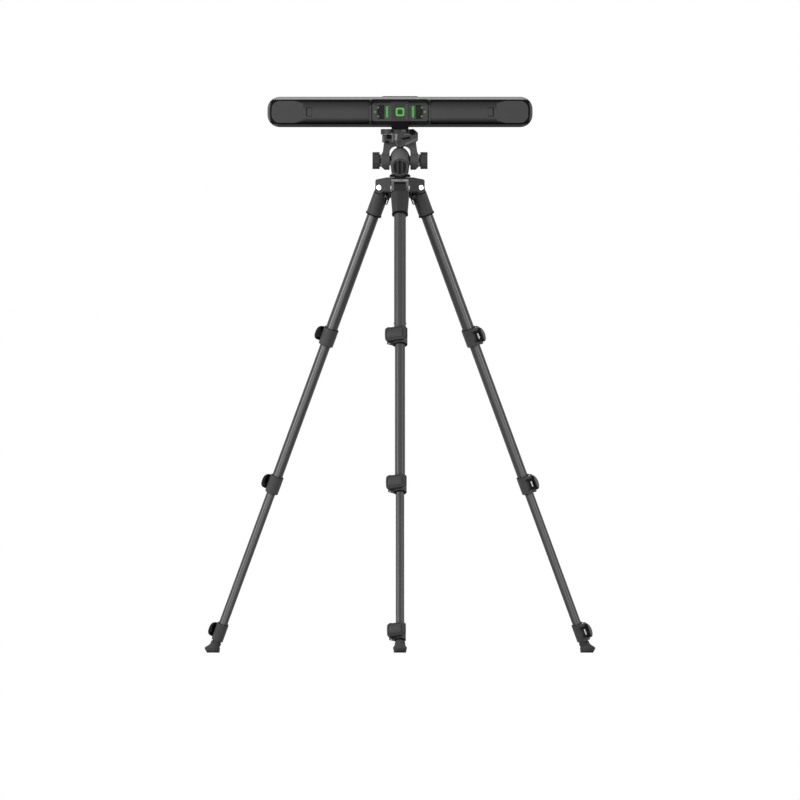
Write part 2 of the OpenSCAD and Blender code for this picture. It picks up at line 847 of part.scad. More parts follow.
// Casting with two cheeks, the table and the fixed jaw, then the roll pin and the lever's pivot
module clamp_body() {
    top = table_bottom - roll_z;
    jaw_low = top + table_t - thin;
    jaw_high = top + table_t + plate_t - 2 * run;
    color("#57585a") at_roll() {
        difference() {
            union() {
                towards_rear(-cheek_y, cheek_t) front_cheek_outline();
                towards_rear(cheek_y + cheek_t, cheek_t) {
                    circle(roll_boss_r);
                    translate([-roll_boss_r, 0]) square([2 * roll_boss_r, top + thin]);
                }
                translate([-plate_hw, -plate_d / 2, top]) cube([plate_hw + clamp_hw, plate_d, table_t]);
                towards_rear(plate_d / 2, plate_d)
                    polygon([[plate_hw + run, jaw_low], [clamp_hw, jaw_low],
                             [clamp_hw - jaw_slope, jaw_high], [plate_hw + run, jaw_high]]);
            }
            rod_y(-cheek_y - cheek_t - cut, 2 * (cheek_y + cheek_t + cut), roll_pin_d + 2 * bond);
        }
        rod_y(-cheek_y - cheek_t, cheek_y + cheek_t + bridge_d / 2, roll_pin_d);
        translate([lever_pivot[0], lever_pivot[1], top - lever_pivot_l])
            cylinder(h = lever_pivot_l + plate_t, d = lever_pivot_d);
    }
}

// Lever whose eye turns on the pivot and whose grip runs back along the plate
module clamp_lever() {
    lever_h = table_t + plate_t - 2 * run;
    outer_x = -clamp_hw - lever_over;
    front_y = lever_pivot[1] - lever_pivot_d / 2;
    color("#48494a") at_stand() translate([0, 0, table_bottom + run]) difference() {
        linear_extrude(lever_h) {
            translate(lever_pivot) circle(lever_eye_r);
            translate([outer_x, front_y]) square([lever_pivot[0] - outer_x, lever_neck_d]);
            translate([outer_x, front_y]) square([lever_grip_w, -2 * front_y - lever_pivot_d / 2]);
        }
        translate([lever_pivot[0], lever_pivot[1], -cut])
            cylinder(h = lever_h + 2 * cut, d = lever_pivot_d + 2 * fit);
    }
}

// Round knob with finger grooves, from z = 0 up
module knob(d, l, lobes) {
    groove_x = d / 2 + knob_groove_d / 2 - knob_groove_depth;
    difference() {
        cylinder(h = l, d = d);
        for (i = [1:lobes]) rotate([0, 0, i * 360 / lobes]) translate([groove_x, 0, -cut])
            cylinder(h = l + 2 * cut, d = knob_groove_d);
    }
}

module roll_knob() {
    stem_y = bridge_d / 2 + run;
    knob_y = cheek_y + cheek_t + run;
    color("#3c3d3e") at_roll() {
        rod_y(stem_y, knob_y + thin - stem_y, roll_pin_d);
        translate([0, knob_y, 0]) rotate([-90, 0, 0]) knob(roll_knob_d, roll_knob_l, 10);
    }
}

// Half outline of the yoke, from its top round the arm to its lower end
function yoke_side() = [[0, bridge_bottom + bridge_h], [arm_x - yoke_shoulder, bridge_bottom + bridge_h],
                        [arm_x - arm_waist, roll_rise / 2], [arm_x, arm_flat], [arm_x, -arm_low],
                        [arm_x - arm_toe, -arm_r], [0, -arm_r]];

// Arms, bridge and trunnions in one casting
module tilt_yoke() {
    opening_h = 2 * (bridge_bottom + arm_r);
    color("#4a4b4c") at_tilt() {
        difference() {
            intersection() {
                towards_rear(arm_r, 2 * arm_r) difference() {
                    both_sides() polygon(yoke_side());
                    translate([0, bridge_bottom - opening_h / 2])
                        rounded_rect(yoke_gap, opening_h, yoke_round);
                }
                along_x(-arm_x - cut, 2 * (arm_x + cut)) {
                    circle(arm_r);
                    translate([-bridge_d / 2, 0]) square([bridge_d, bridge_bottom + bridge_h]);
                }
            }
            translate([0, 0, roll_rise]) rod_y(-arm_r - cut, 2 * (arm_r + cut), roll_pin_d + 2 * fit);
            both_sides() rod_x(arm_x - knob_stem_l, knob_stem_l + cut, knob_stem_d + 2 * fit);
        }
        both_sides() rod_x(yoke_gap / 2 - trunnion_l, trunnion_l + thin, trunnion_d);
    }
}

module tilt_knob() {
    rod_x(arm_x - knob_stem_l + run, knob_stem_l + knob_neck_l, knob_stem_d);
    rod_x(arm_x + run, knob_neck_l, knob_neck_d);
    translate([arm_x + knob_neck_l, 0, 0]) rotate([0, 90, 0]) knob(tilt_knob_d, tilt_knob_l, 12);
}

module tilt_knob_left() {
    color("#3a3b3c") at_tilt() mirror([1, 0, 0]) tilt_knob();
}

module tilt_knob_right() {
    color("#3a3b3c") at_tilt() tilt_knob();
}

// Half outline of the pan body's dome, turned about the tilt axis
function dome_side() = [for (i = [-8:8]) [pan_top_r * cos(i * pan_dome_turn / 8),
                                          pan_dome * sin(i * pan_dome_turn / 8)]];

// Egg-shaped body between the yoke's arms, within the circle that the bridge sweeps
module pan_body() {
    bottom = pan_bottom - tilt_z;
    color("#555658") at_tilt() difference() {
        union() {
            rotate([0, 90, 0]) rotate_extrude()
                polygon(concat([[0, -pan_hw]], dome_side(), [[0, pan_hw]]));
            intersection() {
                towards_rear(pan_top_r, 2 * pan_top_r)
                    polygon([[-pan_hw, 0], [-pan_neck_hw, bottom], [pan_neck_hw, bottom], [pan_hw, 0]]);
                along_x(-pan_hw, 2 * pan_hw)
                    translate([-pan_neck_hw, bottom]) square([2 * pan_neck_hw, -bottom]);
            }
            translate([0, 0, -pan_knob_drop]) rod_y(-pan_boss_y, pan_boss_y, pan_knob_d + 2 * pan_collar);
        }
        both_sides() rod_x(pan_hw - trunnion_l, trunnion_l + cut, trunnion_d + 2 * fit);
        translate([0, 0, bottom - cut]) cylinder(h = pan_axle_l + 2 * cut, d = pan_axle_d + 2 * fit);
        translate([0, 0, bottom - pan_knob_d]) cylinder(h = pan_knob_d, d = flange_d + 2 * run);
        translate([0, 0, -pan_knob_drop]) {
            rod_y(-pan_boss_y - cut, pan_stem_l + cut, pan_stem_d + 2 * fit);
            rod_y(-pan_boss_y - pan_knob_l, pan_knob_l, pan_knob_d + 2 * run);
        }
    }
}

// Knob with two upright grips between three finger slots
module pan_knob() {
    back_y = -pan_boss_y - run;
    slot_y = back_y - pan_knob_l - cut;
    color("#303132") at_tilt() translate([0, 0, -pan_knob_drop]) {
        rod_y(back_y - thin, pan_stem_l, pan_stem_d);
        difference() {
            rod_y(back_y - pan_knob_l, pan_knob_l, pan_knob_d);
            intersection() {
                rod_y(slot_y, pan_slot_depth + cut, pan_knob_d - 2 * pan_knob_rim);
                for (i = [-1, 0, 1])
                    translate([i * pan_slot_pitch - pan_slot_w / 2, slot_y, -pan_knob_d / 2])
                        cube([pan_slot_w, pan_slot_depth + cut, pan_knob_d]);
            }
        }
    }
}

// Flange with a cone and the axle that the pan body turns on
module pan_base() {
    flange_t = pan_bottom - spider_z - 2 * run - pan_cone_t;
    color("#3e3f40") at_stand() translate([0, 0, spider_z + run]) {
        cylinder(h = flange_t, d = flange_d);
        translate([0, 0, flange_t - thin])
            cylinder(h = pan_cone_t + thin, d1 = flange_d, d2 = 2 * pan_neck_hw);
        translate([0, 0, flange_t + pan_cone_t - thin]) cylinder(h = pan_axle_l, d = pan_axle_d);
    }
}

// Spider and column

// Clevis for one leg: two ears under a sloping roof, with X away from the stand
module clevis() {
    outer_w = ear_gap + 2 * ear_t;
    end_x = hinge_r + ear_out;
    roof_end = spider_top - roof_fall;
    difference() {
        translate([0, outer_w / 2, 0]) rotate([90, 0, 0]) linear_extrude(outer_w) {
            translate([hinge_r, 0]) intersection() {
                circle(ear_r);
                translate([-ear_r, -ear_r]) square([ear_r + ear_out, 2 * ear_r]);
            }
            polygon([[0, spider_top], [end_x - roof_l, spider_top],
                     [end_x - roof_round, roof_end + roof_round], [end_x, roof_end], [end_x, 0],
                     [hinge_r, -ear_r * 0.6], [hub_d / 2, -hub_drop], [0, -hub_drop]]);
        }
        translate([0, ear_gap / 2, 0]) rotate([90, 0, 0]) linear_extrude(ear_gap) {
            translate([hinge_r, 0]) circle(ear_r + run);
            translate([hinge_r, -2 * ear_r]) square([2 * ear_r, 3 * ear_r]);
            translate([hinge_r - ear_r - run, -3 * ear_r]) square([2 * ear_r, 3 * ear_r]);
        }
    }
}

// Hub with three clevises and the boss of the column's locking knob
module spider() {
    hub_l = spider_top + hub_drop;
    color("#434445") at_stand() translate([0, 0, hinge_z]) difference() {
        union() {
            translate([0, 0, -hub_drop]) cylinder(h = hub_l, d = hub_d);
            for (a = leg_turns) rotate([0, 0, a]) clevis();
            translate([0, 0, knob_boss_z]) rod_y(0, knob_boss_y, knob_boss_d);
        }
        translate([0, 0, -hub_drop - cut]) cylinder(h = hub_l + 2 * cut, d = column_d + 2 * fit);
        for (a = leg_turns) rotate([0, 0, a]) translate([hinge_r, 0, 0])
            rod_y(-2 * ear_gap, 4 * ear_gap, bolt_d + 2 * bond);
        translate([0, 0, knob_boss_z]) rod_y(0, knob_boss_y + cut, column_stem_d + 2 * fit);
    }
}

// Hinge bolt with a slotted head at each end
module hinge_bolt() {
    half = ear_gap / 2 + ear_t;
    difference() {
        union() {
            rod_y(-half - thin, 2 * (half + thin), bolt_d);
            rod_y(-half - bolt_head_t, bolt_head_t, bolt_head_d);
            rod_y(half, bolt_head_t, bolt_head_d);
        }
        for (i = [-1, 1]) translate([0, i * (half + bolt_head_t), 0])
            cube([bolt_slot_w, 2 * bolt_slot_depth, bolt_slot_l], center = true);
    }
}

module leg_hinge_bolts() {
    color("#d8dadb") at_stand() for (a = leg_turns)
        rotate([0, 0, a]) translate([hinge_r, 0, hinge_z]) hinge_bolt();
}

// Column tube and the plug with a thread in its lower end
module centre_column() {
    bore = column_d - 2 * column_wall;
    column_top = column_l + spider_top + run;
    color("#5a5b5d") at_stand() translate([0, 0, hinge_z - column_l]) {
        difference() {
            translate([0, 0, bond]) cylinder(h = column_top - bond, d = column_d);
            translate([0, 0, -cut]) cylinder(h = column_top + 2 * cut, d = bore);
        }
        difference() {
            union() {
                cylinder(h = plug_l, d = bore - 2 * bond);
                translate([0, 0, -plug_lip]) cylinder(h = plug_lip, d = plug_flange_d);
            }
            translate([0, 0, -plug_lip - cut]) cylinder(h = column_thread_l + cut, d = column_thread_d);
        }
    }
}

module column_knob() {
    stem_y = column_d / 2 + 2 * run;
    knob_y = knob_boss_y + run;
    color("#333435") at_stand() translate([0, 0, hinge_z + knob_boss_z]) {
        rod_y(stem_y, knob_y + thin - stem_y, column_stem_d);
        translate([0, knob_y, 0]) rotate([-90, 0, 0]) knob(column_knob_d, column_knob_l, 8);
    }
}

// Legs

module tube_outline(k) {
    difference() {
        circle(d = tube_od(k));
        circle(d = tube_od(k) - 2 * tube_wall);
        for (a = [-groove_turn, groove_turn]) rotate([0, 0, a])
            translate([tube_od(k) / 2 - tube_groove_depth, -tube_groove_w / 2])
                square([tube_groove_depth + cut, tube_groove_w]);
    }
}

module leg_tube(k, top, bottom) {
    translate([0, 0, -bottom]) linear_extrude(bottom - top) tube_outline(k);
}

// Place of a clamp's lever frame: its lower end, turned so that +X is the outward face of the lever
module at_clamp(k) {
    translate([0, 0, -clamp_ends[k - 1]]) rotate([0, 0, -lever_turn]) children();
}

// Ring round the end of tube k, with two ears for the lever's pin
module clamp(k) {
    r = clamp_r(k);
    pin = lever_pin(k);
    side = ear_round * [0.8, 0.6];
    at_clamp(k) difference() {
        union() {
            cylinder(h = clamp_l, r = r);
            for (z = [0, clamp_l - knuckle_l]) translate([0, 0, z]) linear_extrude(knuckle_l) {
                translate(pin) circle(ear_round);
                polygon([[0, 0], pin + side, pin, pin - side, [-r * 0.7, -r * 0.6]]);
            }
        }
        translate([0, 0, clamp_lip]) cylinder(h = clamp_l, r = tube_od(k) / 2 + bond);
        translate([0, 0, -cut]) cylinder(h = clamp_l, r = tube_od(k + 1) / 2 + tube_gap);
        translate([pin[0], pin[1], -cut]) cylinder(h = clamp_l + 2 * cut, d = lever_pin_d + 2 * bond);
    }
}

// Tube k with the clamp on its lower end and the pin of the clamp's lever, as three pieces
module leg_section(k, top) {
    pin = lever_pin(k);
    leg_tube(k, top, clamp_ends[k - 1] - clamp_lip - bond);
    clamp(k);
    at_clamp(k) translate([pin[0], pin[1], 0]) cylinder(h = clamp_l, d = lever_pin_d);
}

// Plate that is rounder at its free end
module lever_outline(l) {
    intersection() {
        rounded_rect(l, lever_plate_h, lever_tip_round);
        translate([0, -lever_plate_h]) square([l, 2 * lever_plate_h]);
    }
    intersection() {
        rounded_rect(l, lever_plate_h, lever_round);
        translate([-l, -lever_plate_h]) square([l + thin, 2 * lever_plate_h]);
    }
}

// Lever plate in front of the clamp, hung on the pin by two knuckles
module clamp_arm(k) {
    r = clamp_r(k);
    pin = lever_pin(k);
    plate_x = r + lever_gap;
    plate_l = 2 * r + lever_root + lever_tip;
    low = knuckle_l + run;
    at_clamp(k) difference() {
        union() {
            along_x(plate_x, lever_t) translate([(lever_tip - lever_root) / 2, clamp_l / 2])
                lever_outline(plate_l);
            for (z = [low, clamp_l - low - knuckle_l]) translate([0, 0, z]) linear_extrude(knuckle_l) {
                translate(pin) circle(knuckle_round);
                translate([pin[0], pin[1] - knuckle_round])
                    square([plate_x + lever_t / 2 - pin[0], 2 * knuckle_round]);
            }
        }
        translate([pin[0], pin[1], -cut]) cylinder(h = clamp_l + 2 * cut, d = lever_pin_d + 2 * fit);
    }
}

// Casting that hangs in the clevis and holds the uppermost tube
module leg_shoulder() {
    difference() {
        union() {
            difference() {
                hull() {
                    translate([0, 0, -shoulder_top - shoulder_block]) linear_extrude(shoulder_block)
                        scale([shoulder_t / shoulder_w, 1]) circle(d = shoulder_w, $fn = hull_fn);
                    translate([0, 0, -shoulder_l + shoulder_rim / 2])
                        cylinder(h = thin, d = shoulder_end_d, $fn = hull_fn);
                }
                rod_y(-shoulder_w, 2 * shoulder_w, 2 * (ear_r + shoulder_gap));
            }
            translate([0, 0, -shoulder_l]) cylinder(h = shoulder_rim, d = shoulder_rim_d);
            rod_y(-tongue_w / 2, tongue_w, 2 * tongue_r);
            translate([-tongue_r, -tongue_w / 2, -shoulder_top - tongue_root])
                cube([2 * tongue_r, tongue_w, shoulder_top + tongue_root]);
        }
        rod_y(-shoulder_w, 2 * shoulder_w, bolt_d + 2 * fit);
        translate([0, 0, -shoulder_l - cut]) cylinder(h = tube_seat_l + cut, d = tube_od(1) + 2 * bond);
        translate([-shoulder_w, -stop_w / 2 - run, -stop_s - run])
            cube([shoulder_w + stop_x + run, stop_w + 2 * run, stop_s]);
    }
}

// Wedge on the inner side of the shoulder, with a loop below it to pull it
module leg_angle_stop() {
    tip_x = stop_x - stop_reach;
    tip_s = stop_top + stop_fall;
    loop_top = -stop_s + stop_edge;
    towards_rear(stop_w / 2, stop_w)
        polygon([[stop_x, -stop_top], [tip_x, -tip_s], [tip_x, -tip_s - stop_edge], [loop_x, -stop_s],
                 [stop_x, -stop_s]]);
    towards_rear(loop_t / 2, loop_t) translate([loop_x - loop_w / 2, loop_top - loop_l / 2]) difference() {
        rounded_rect(loop_w, loop_l, loop_round);
        translate([0, -loop_rim])
            rounded_rect(loop_w - 2 * loop_rim, loop_l - 4 * loop_rim, loop_round - loop_rim);
    }
}

module at_sole(n) {
    at_stand() rotate([0, 0, leg_turns[n - 1]]) translate([foot_r, 0, 0]) children();
}

// Outline of the boot, drawn in at the toe and at the sides
module sole_outline(toe, side) {
    translate([(toe_l - heel_l - toe) / 2, 0])
        rounded_rect(toe_l + heel_l - toe, sole_w - 2 * side, sole_round - side, $fn = hull_fn);
}

// Innermost tube and the rubber boot with a level sole, as two pieces
module leg_foot(n) {
    color("#5d5e60") at_leg(n) leg_tube(4, inner_tube_top, inner_tube_end - bond);
    color("#2a2b2c") difference() {
        union() {
            at_sole(n) hull() {
                linear_extrude(thin) sole_outline(toe_tuck, side_tuck);
                translate([0, 0, boot_wide_z]) linear_extrude(thin) sole_outline(0, 0);
                translate([0, 0, toe_h]) linear_extrude(thin) sole_outline(boot_top_tuck, boot_top_tuck);
            }
            hull() {
                at_leg(n) translate([0, 0, -boot_top - boot_collar + thin])
                    cylinder(h = boot_band, d = boot_d, $fn = hull_fn);
                at_sole(n) translate([ankle_l / 2 - heel_l, 0, boot_wide_z]) linear_extrude(thin)
                    rounded_rect(ankle_l, ankle_w, sole_round, $fn = hull_fn);
            }
            at_leg(n) translate([0, 0, -boot_top - boot_collar])
                cylinder(h = boot_collar, d = boot_d - 2 * boot_neck);
        }
        at_leg(n) translate([0, 0, -inner_tube_end]) cylinder(h = leg_l, d = tube_od(4) + 2 * bond);
    }
}

module leg_shoulder_n(n) {
    color("#454647") at_leg(n) leg_shoulder();
}

module leg_stop_n(n) {
    color("#2b2c2d") at_leg(n) leg_angle_stop();
}

module leg_section_n(n, k) {
    color("#5d5e60") at_leg(n) leg_section(k, section_tops[k - 1]);
}

module leg_lever_n(n, k) {
    color("#4d4e50") at_leg(n) clamp_arm(k);
}

rear_housing();
front_housing();
grip_panel_left();
grip_panel_right();
port_flap_left();
port_flap_right();
port_sockets();
control_panel();
power_button();
status_lights();
camera_windows();
emitter_rings();
camera_modules();
baseline_beam();
battery_packs();
main_board();
top_cover();
housing_screws();
mount_foot();
quick_release_plate();
clamp_body();
clamp_lever();
roll_knob();
tilt_yoke();
tilt_knob_left();
tilt_knob_right();
pan_body();
pan_knob();
pan_base();
spider();
leg_hinge_bolts();
centre_column();
column_knob();
for (n = [1:3]) {
    leg_shoulder_n(n);
    leg_stop_n(n);
    leg_section_n(n, 1);
    leg_lever_n(n, 1);
    leg_section_n(n, 2);
    leg_lever_n(n, 2);
    leg_section_n(n, 3);
    leg_lever_n(n, 3);
    leg_foot(n);
}
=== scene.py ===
"""Looks of the tracking bar and its tripod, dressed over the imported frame.

Metres, Z up, -Y is the control side.
"""
import json
import math

import bmesh
import bpy
from mathutils import Matrix, Vector


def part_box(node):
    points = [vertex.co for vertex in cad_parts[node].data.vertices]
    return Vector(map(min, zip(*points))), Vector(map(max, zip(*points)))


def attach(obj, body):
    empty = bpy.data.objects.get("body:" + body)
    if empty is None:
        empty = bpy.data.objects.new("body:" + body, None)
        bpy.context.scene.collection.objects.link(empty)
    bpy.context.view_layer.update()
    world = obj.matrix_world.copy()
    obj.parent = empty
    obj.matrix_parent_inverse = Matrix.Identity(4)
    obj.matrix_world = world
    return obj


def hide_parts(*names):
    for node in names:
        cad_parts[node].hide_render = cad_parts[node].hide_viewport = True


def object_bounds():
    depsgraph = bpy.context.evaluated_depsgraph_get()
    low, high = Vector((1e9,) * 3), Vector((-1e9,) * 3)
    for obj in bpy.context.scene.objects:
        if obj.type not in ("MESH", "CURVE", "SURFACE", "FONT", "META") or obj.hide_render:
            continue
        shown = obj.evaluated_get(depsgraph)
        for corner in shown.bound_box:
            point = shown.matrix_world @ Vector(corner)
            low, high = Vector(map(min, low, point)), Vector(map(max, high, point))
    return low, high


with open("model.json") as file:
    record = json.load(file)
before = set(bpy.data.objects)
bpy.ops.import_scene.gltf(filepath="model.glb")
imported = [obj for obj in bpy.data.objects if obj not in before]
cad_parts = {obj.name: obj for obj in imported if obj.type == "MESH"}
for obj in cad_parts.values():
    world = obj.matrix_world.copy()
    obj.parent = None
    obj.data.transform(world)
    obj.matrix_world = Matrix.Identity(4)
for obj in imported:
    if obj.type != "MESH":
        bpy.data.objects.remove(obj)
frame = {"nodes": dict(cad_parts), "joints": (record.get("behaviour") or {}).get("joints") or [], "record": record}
cad_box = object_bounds()
record = frame["record"]
joints = {j["name"]: j for j in frame["joints"]}
body_of = {n: b for b, names in record["behaviour"]["bodies"].items() for n in names}
slot_of = {s["node"]: s["material_slot"] for s in record["subparts"]}

MM = 0.001
WELD = 0.002 * MM
FLAT = math.radians(1.0)
SHARP = math.radians(32.0)

# Camera: a straight view along +Y, with the photograph's scale
MM_PER_PX = 2.15
PHOTO_PX = 800
FLOOR_PX = 652.7
CAMERA_AWAY = 4.0

# The bar's box, its middle height and the round of its corners
bar_low, bar_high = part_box("rear_housing")
bar_z = (bar_low.z + bar_high.z) / 2
BAR_CORNER = 26.5 * MM

# Shader helpers


def feed(tree, socket, value):
    """Links another node's output to a socket, or sets the socket's value."""
    if isinstance(value, bpy.types.NodeSocket):
        tree.links.new(value, socket)
    else:
        socket.default_value = value


def add_node(tree, kind, settings=None, **inputs):
    """Adds a node, sets its properties, and sets or links its inputs by name."""
    node = tree.nodes.new(kind)
    for key, value in (settings or {}).items():
        setattr(node, key, value)
    for key, value in inputs.items():
        feed(tree, node.inputs[key.replace("_", " ")], value)
    return node


def new_group(name, kind, ins, outs):
    """A node group with named sockets. Returns its tree, its input node's outputs and its output node."""
    tree = bpy.data.node_groups.new(name, kind)
    for label, socket_type, value in ins:
        socket = tree.interface.new_socket(label, in_out="INPUT", socket_type=socket_type)
        if value is not None:
            socket.default_value = value
    for label, socket_type in outs:
        tree.interface.new_socket(label, in_out="OUTPUT", socket_type=socket_type)
    return tree, tree.nodes.new("NodeGroupInput").outputs, tree.nodes.new("NodeGroupOutput")


def math_node(tree, operation, a, b=0.0):
    node = add_node(tree, "ShaderNodeMath", {"operation": operation})
    feed(tree, node.inputs[0], a)
    feed(tree, node.inputs[1], b)
    return node.outputs[0]


def times(tree, a, b):
    return math_node(tree, "MULTIPLY", a, b)


def length_of(tree, vector):
    node = add_node(tree, "ShaderNodeVectorMath", {"operation": "LENGTH"})
    tree.links.new(vector, node.inputs[0])
    return node.outputs["Value"]


def mix_colour(tree, factor, a, b):
    node = add_node(tree, "ShaderNodeMix", {"data_type": "RGBA"})
    for index, value in ((0, factor), (6, a), (7, b)):
        feed(tree, node.inputs[index], value)
    return node.outputs[2]


def mix_shader(tree, factor, a, b):
    node = tree.nodes.new("ShaderNodeMixShader")
    for socket, value in zip(node.inputs, (factor, a, b)):
        tree.links.new(value, socket)
    return node.outputs[0]


def ramp(tree, value, start, end, low=0.0):
    """A smooth rise from low to 1 between two values."""
    return add_node(tree, "ShaderNodeMapRange", {"interpolation_type": "SMOOTHSTEP"}, Value=value,
                    From_Min=start, From_Max=end, To_Min=low, To_Max=1.0).outputs[0]


def band(tree, value, start, end, blur):
    """1 between two values and 0 outside them, with soft sides."""
    rise = ramp(tree, value, start - blur, start)
    return times(tree, rise, ramp(tree, value, end + blur, end))


def seen_rays(tree):
    """1 for rays by which the camera sees something straight, through glass or mirrored."""
    path = add_node(tree, "ShaderNodeLightPath").outputs
    seen = math_node(tree, "MAXIMUM", path["Is Camera Ray"], path["Is Transmission Ray"])
    return math_node(tree, "MAXIMUM", seen, path["Is Glossy Ray"])


def grey(value):
    return (value, value, value, 1.0)


# Shared surface effects


PER_METRE_MM = 1000.0


def build_grain():
    """Fine moulded texture, and a slow drift of tone over the surface. Sizes are in millimetres."""
    tree, given, out = new_group(
        "moulded_grain", "ShaderNodeTree",
        [("Vector", "NodeSocketVector", None), ("Grain Size", "NodeSocketFloat", 0.6),
         ("Drift Size", "NodeSocketFloat", 60.0)],
        [("Height", "NodeSocketFloat"), ("Drift", "NodeSocketFloat")])
    fine_scale = math_node(tree, "DIVIDE", PER_METRE_MM, given["Grain Size"])
    slow_scale = math_node(tree, "DIVIDE", PER_METRE_MM, given["Drift Size"])
    fine = add_node(tree, "ShaderNodeTexNoise", Vector=given["Vector"], Detail=3.0, Roughness=0.6,
                    Scale=fine_scale)
    cells = add_node(tree, "ShaderNodeTexVoronoi", {"feature": "SMOOTH_F1"}, Vector=given["Vector"],
                     Scale=fine_scale)
    drift = add_node(tree, "ShaderNodeTexNoise", Vector=given["Vector"], Detail=2.0, Scale=slow_scale)
    height = times(tree, fine.outputs["Fac"], cells.outputs["Distance"])
    tree.links.new(height, out.inputs["Height"])
    tree.links.new(drift.outputs["Fac"], out.inputs["Drift"])
    return tree


def build_wear_and_highlight():
    """Worn edges that also carry a painted highlight: where the surface is convex, broken up by noise."""
    tree, given, out = new_group(
        "edge_wear", "ShaderNodeTree",
        [("Vector", "NodeSocketVector", None), ("Start", "NodeSocketFloat", 0.57),
         ("End", "NodeSocketFloat", 0.72)],
        [("Mask", "NodeSocketFloat")])
    geometry = add_node(tree, "ShaderNodeNewGeometry")
    convex = add_node(tree, "ShaderNodeMapRange", Value=geometry.outputs["Pointiness"],
                      From_Min=given["Start"], From_Max=given["End"])
    chips = add_node(tree, "ShaderNodeTexNoise", Vector=given["Vector"], Scale=180.0, Detail=4.0)
    broken = add_node(tree, "ShaderNodeMapRange", Value=chips.outputs["Fac"], From_Min=0.42, From_Max=0.62)
    tree.links.new(times(tree, convex.outputs[0], broken.outputs[0]), out.inputs["Mask"])
    return tree


# Shrinks the way along a brushed line, which draws the noise out
LINE_STRETCH = (1.0, 1.0, 0.012)


def build_brushing():
    """Fine straight lines along the third axis of the given vector, with a slow change of tone round it."""
    tree, given, out = new_group(
        "brushed_lines", "ShaderNodeTree",
        [("Vector", "NodeSocketVector", None), ("Line Size", "NodeSocketFloat", 0.25)],
        [("Height", "NodeSocketFloat"), ("Tone", "NodeSocketFloat")])
    scale = math_node(tree, "DIVIDE", PER_METRE_MM, given["Line Size"])
    stretch = add_node(tree, "ShaderNodeVectorMath", {"operation": "MULTIPLY"})
    tree.links.new(given["Vector"], stretch.inputs[0])
    stretch.inputs[1].default_value = LINE_STRETCH
    lines = add_node(tree, "ShaderNodeTexNoise", Vector=stretch.outputs[0], Scale=scale, Detail=2.0)
    tone = add_node(tree, "ShaderNodeTexNoise", Vector=stretch.outputs[0], Scale=220.0, Detail=3.0)
    tree.links.new(lines.outputs["Fac"], out.inputs["Height"])
    tree.links.new(tone.outputs["Fac"], out.inputs["Tone"])
    return tree


GRAIN = build_grain()
WEAR_AND_HIGHLIGHT = build_wear_and_highlight()
BRUSHING = build_brushing()


def start_material(name):
    """A new material with its Principled shader. Returns the material, its tree and the shader."""
    material = bpy.data.materials.new(name)
    material.use_nodes = True
    tree = material.node_tree
    return material, tree, tree.nodes["Principled BSDF"]


def place_group(tree, group, **inputs):
    return add_node(tree, "ShaderNodeGroup", {"node_tree": group}, **inputs)


def object_place(tree):
    return add_node(tree, "ShaderNodeTexCoord").outputs["Object"]


def bar_place(tree, where):
    """How far a point is out along the bar, above its middle, off its middle, and behind its front."""
    place = add_node(tree, "ShaderNodeSeparateXYZ", Vector=where).outputs
    up = math_node(tree, "SUBTRACT", place["Z"], bar_z)
    return {"across": math_node(tree, "ABSOLUTE", place["X"]), "up": up,
            "aside": math_node(tree, "ABSOLUTE", up),
            "depth": math_node(tree, "SUBTRACT", place["Y"], bar_low.y)}


# The shade in grooves and corners
DEEP_SHADE = grey(0.004)

# A grip's strip: heights between which it darkens, by what share, and the slanted line of its end pad
STRIP_UPPER = (-2 * MM, 25 * MM)
STRIP_UPPER_SHARE = 0.86
STRIP_LOWER = (-11 * MM, -21 * MM)
STRIP_LOWER_SHARE = 0.93
PAD_LINE = (210 * MM, 206 * MM)
PAD_SLANT = (17.5 * MM, 25.0 * MM)
PAD_SLANT_REACH = 19 * MM


def strip_shade(tree, where, colour):
    """Darkens a grip's strip towards its upper and lower edge, but not its end pad."""
    place = bar_place(tree, where)
    upper = times(tree, ramp(tree, place["up"], *STRIP_UPPER), STRIP_UPPER_SHARE)
    lower = times(tree, ramp(tree, place["up"], *STRIP_LOWER), STRIP_LOWER_SHARE)
    slant = times(tree, ramp(tree, place["aside"], *PAD_SLANT), PAD_SLANT_REACH)
    on_strip = ramp(tree, math_node(tree, "SUBTRACT", place["across"], slant), *PAD_LINE)
    dark = times(tree, math_node(tree, "MAXIMUM", upper, lower), on_strip)
    return mix_colour(tree, dark, colour, DEEP_SHADE)


# The panel: where it darkens, measured from its middle, and by what share
PANEL_TOP = (11 * MM, 19 * MM)
PANEL_TOP_SHARE = 0.58
PANEL_LOW = (-20 * MM, -25 * MM)
PANEL_LOW_SHARE = 0.30
PANEL_ENDS = (58.4 * MM, 60.0 * MM)
PANEL_ENDS_SHARE = 0.35
DISH = (19.2 * MM, 18.4 * MM)
DISH_SHARE = 0.25
DISH_EDGE = (17.4 * MM, 19.2 * MM, 0.6 * MM)
DISH_EDGE_SHARE = 0.42
VENT_BAND = (34.5 * MM, 48.5 * MM, 2.0 * MM)
VENT_REACH = (17.5 * MM, 15.5 * MM)
VENT_SHARE = 0.55


def panel_shade(tree, where, colour):
    """Darkens the panel along its edges, in its dish and round its vents."""
    place = bar_place(tree, where)
    vents = times(tree, band(tree, place["across"], *VENT_BAND), ramp(tree, place["aside"], *VENT_REACH))
    dark = times(tree, vents, VENT_SHARE)
    for part, share in ((ramp(tree, place["up"], *PANEL_TOP), PANEL_TOP_SHARE),
                        (ramp(tree, place["up"], *PANEL_LOW), PANEL_LOW_SHARE),
                        (ramp(tree, place["across"], *PANEL_ENDS), PANEL_ENDS_SHARE),
                        (ramp(tree, place["across"], *DISH), DISH_SHARE),
                        (band(tree, place["across"], *DISH_EDGE), DISH_EDGE_SHARE)):
        dark = math_node(tree, "MAXIMUM", dark, times(tree, part, share))
    return mix_colour(tree, dark, colour, DEEP_SHADE)
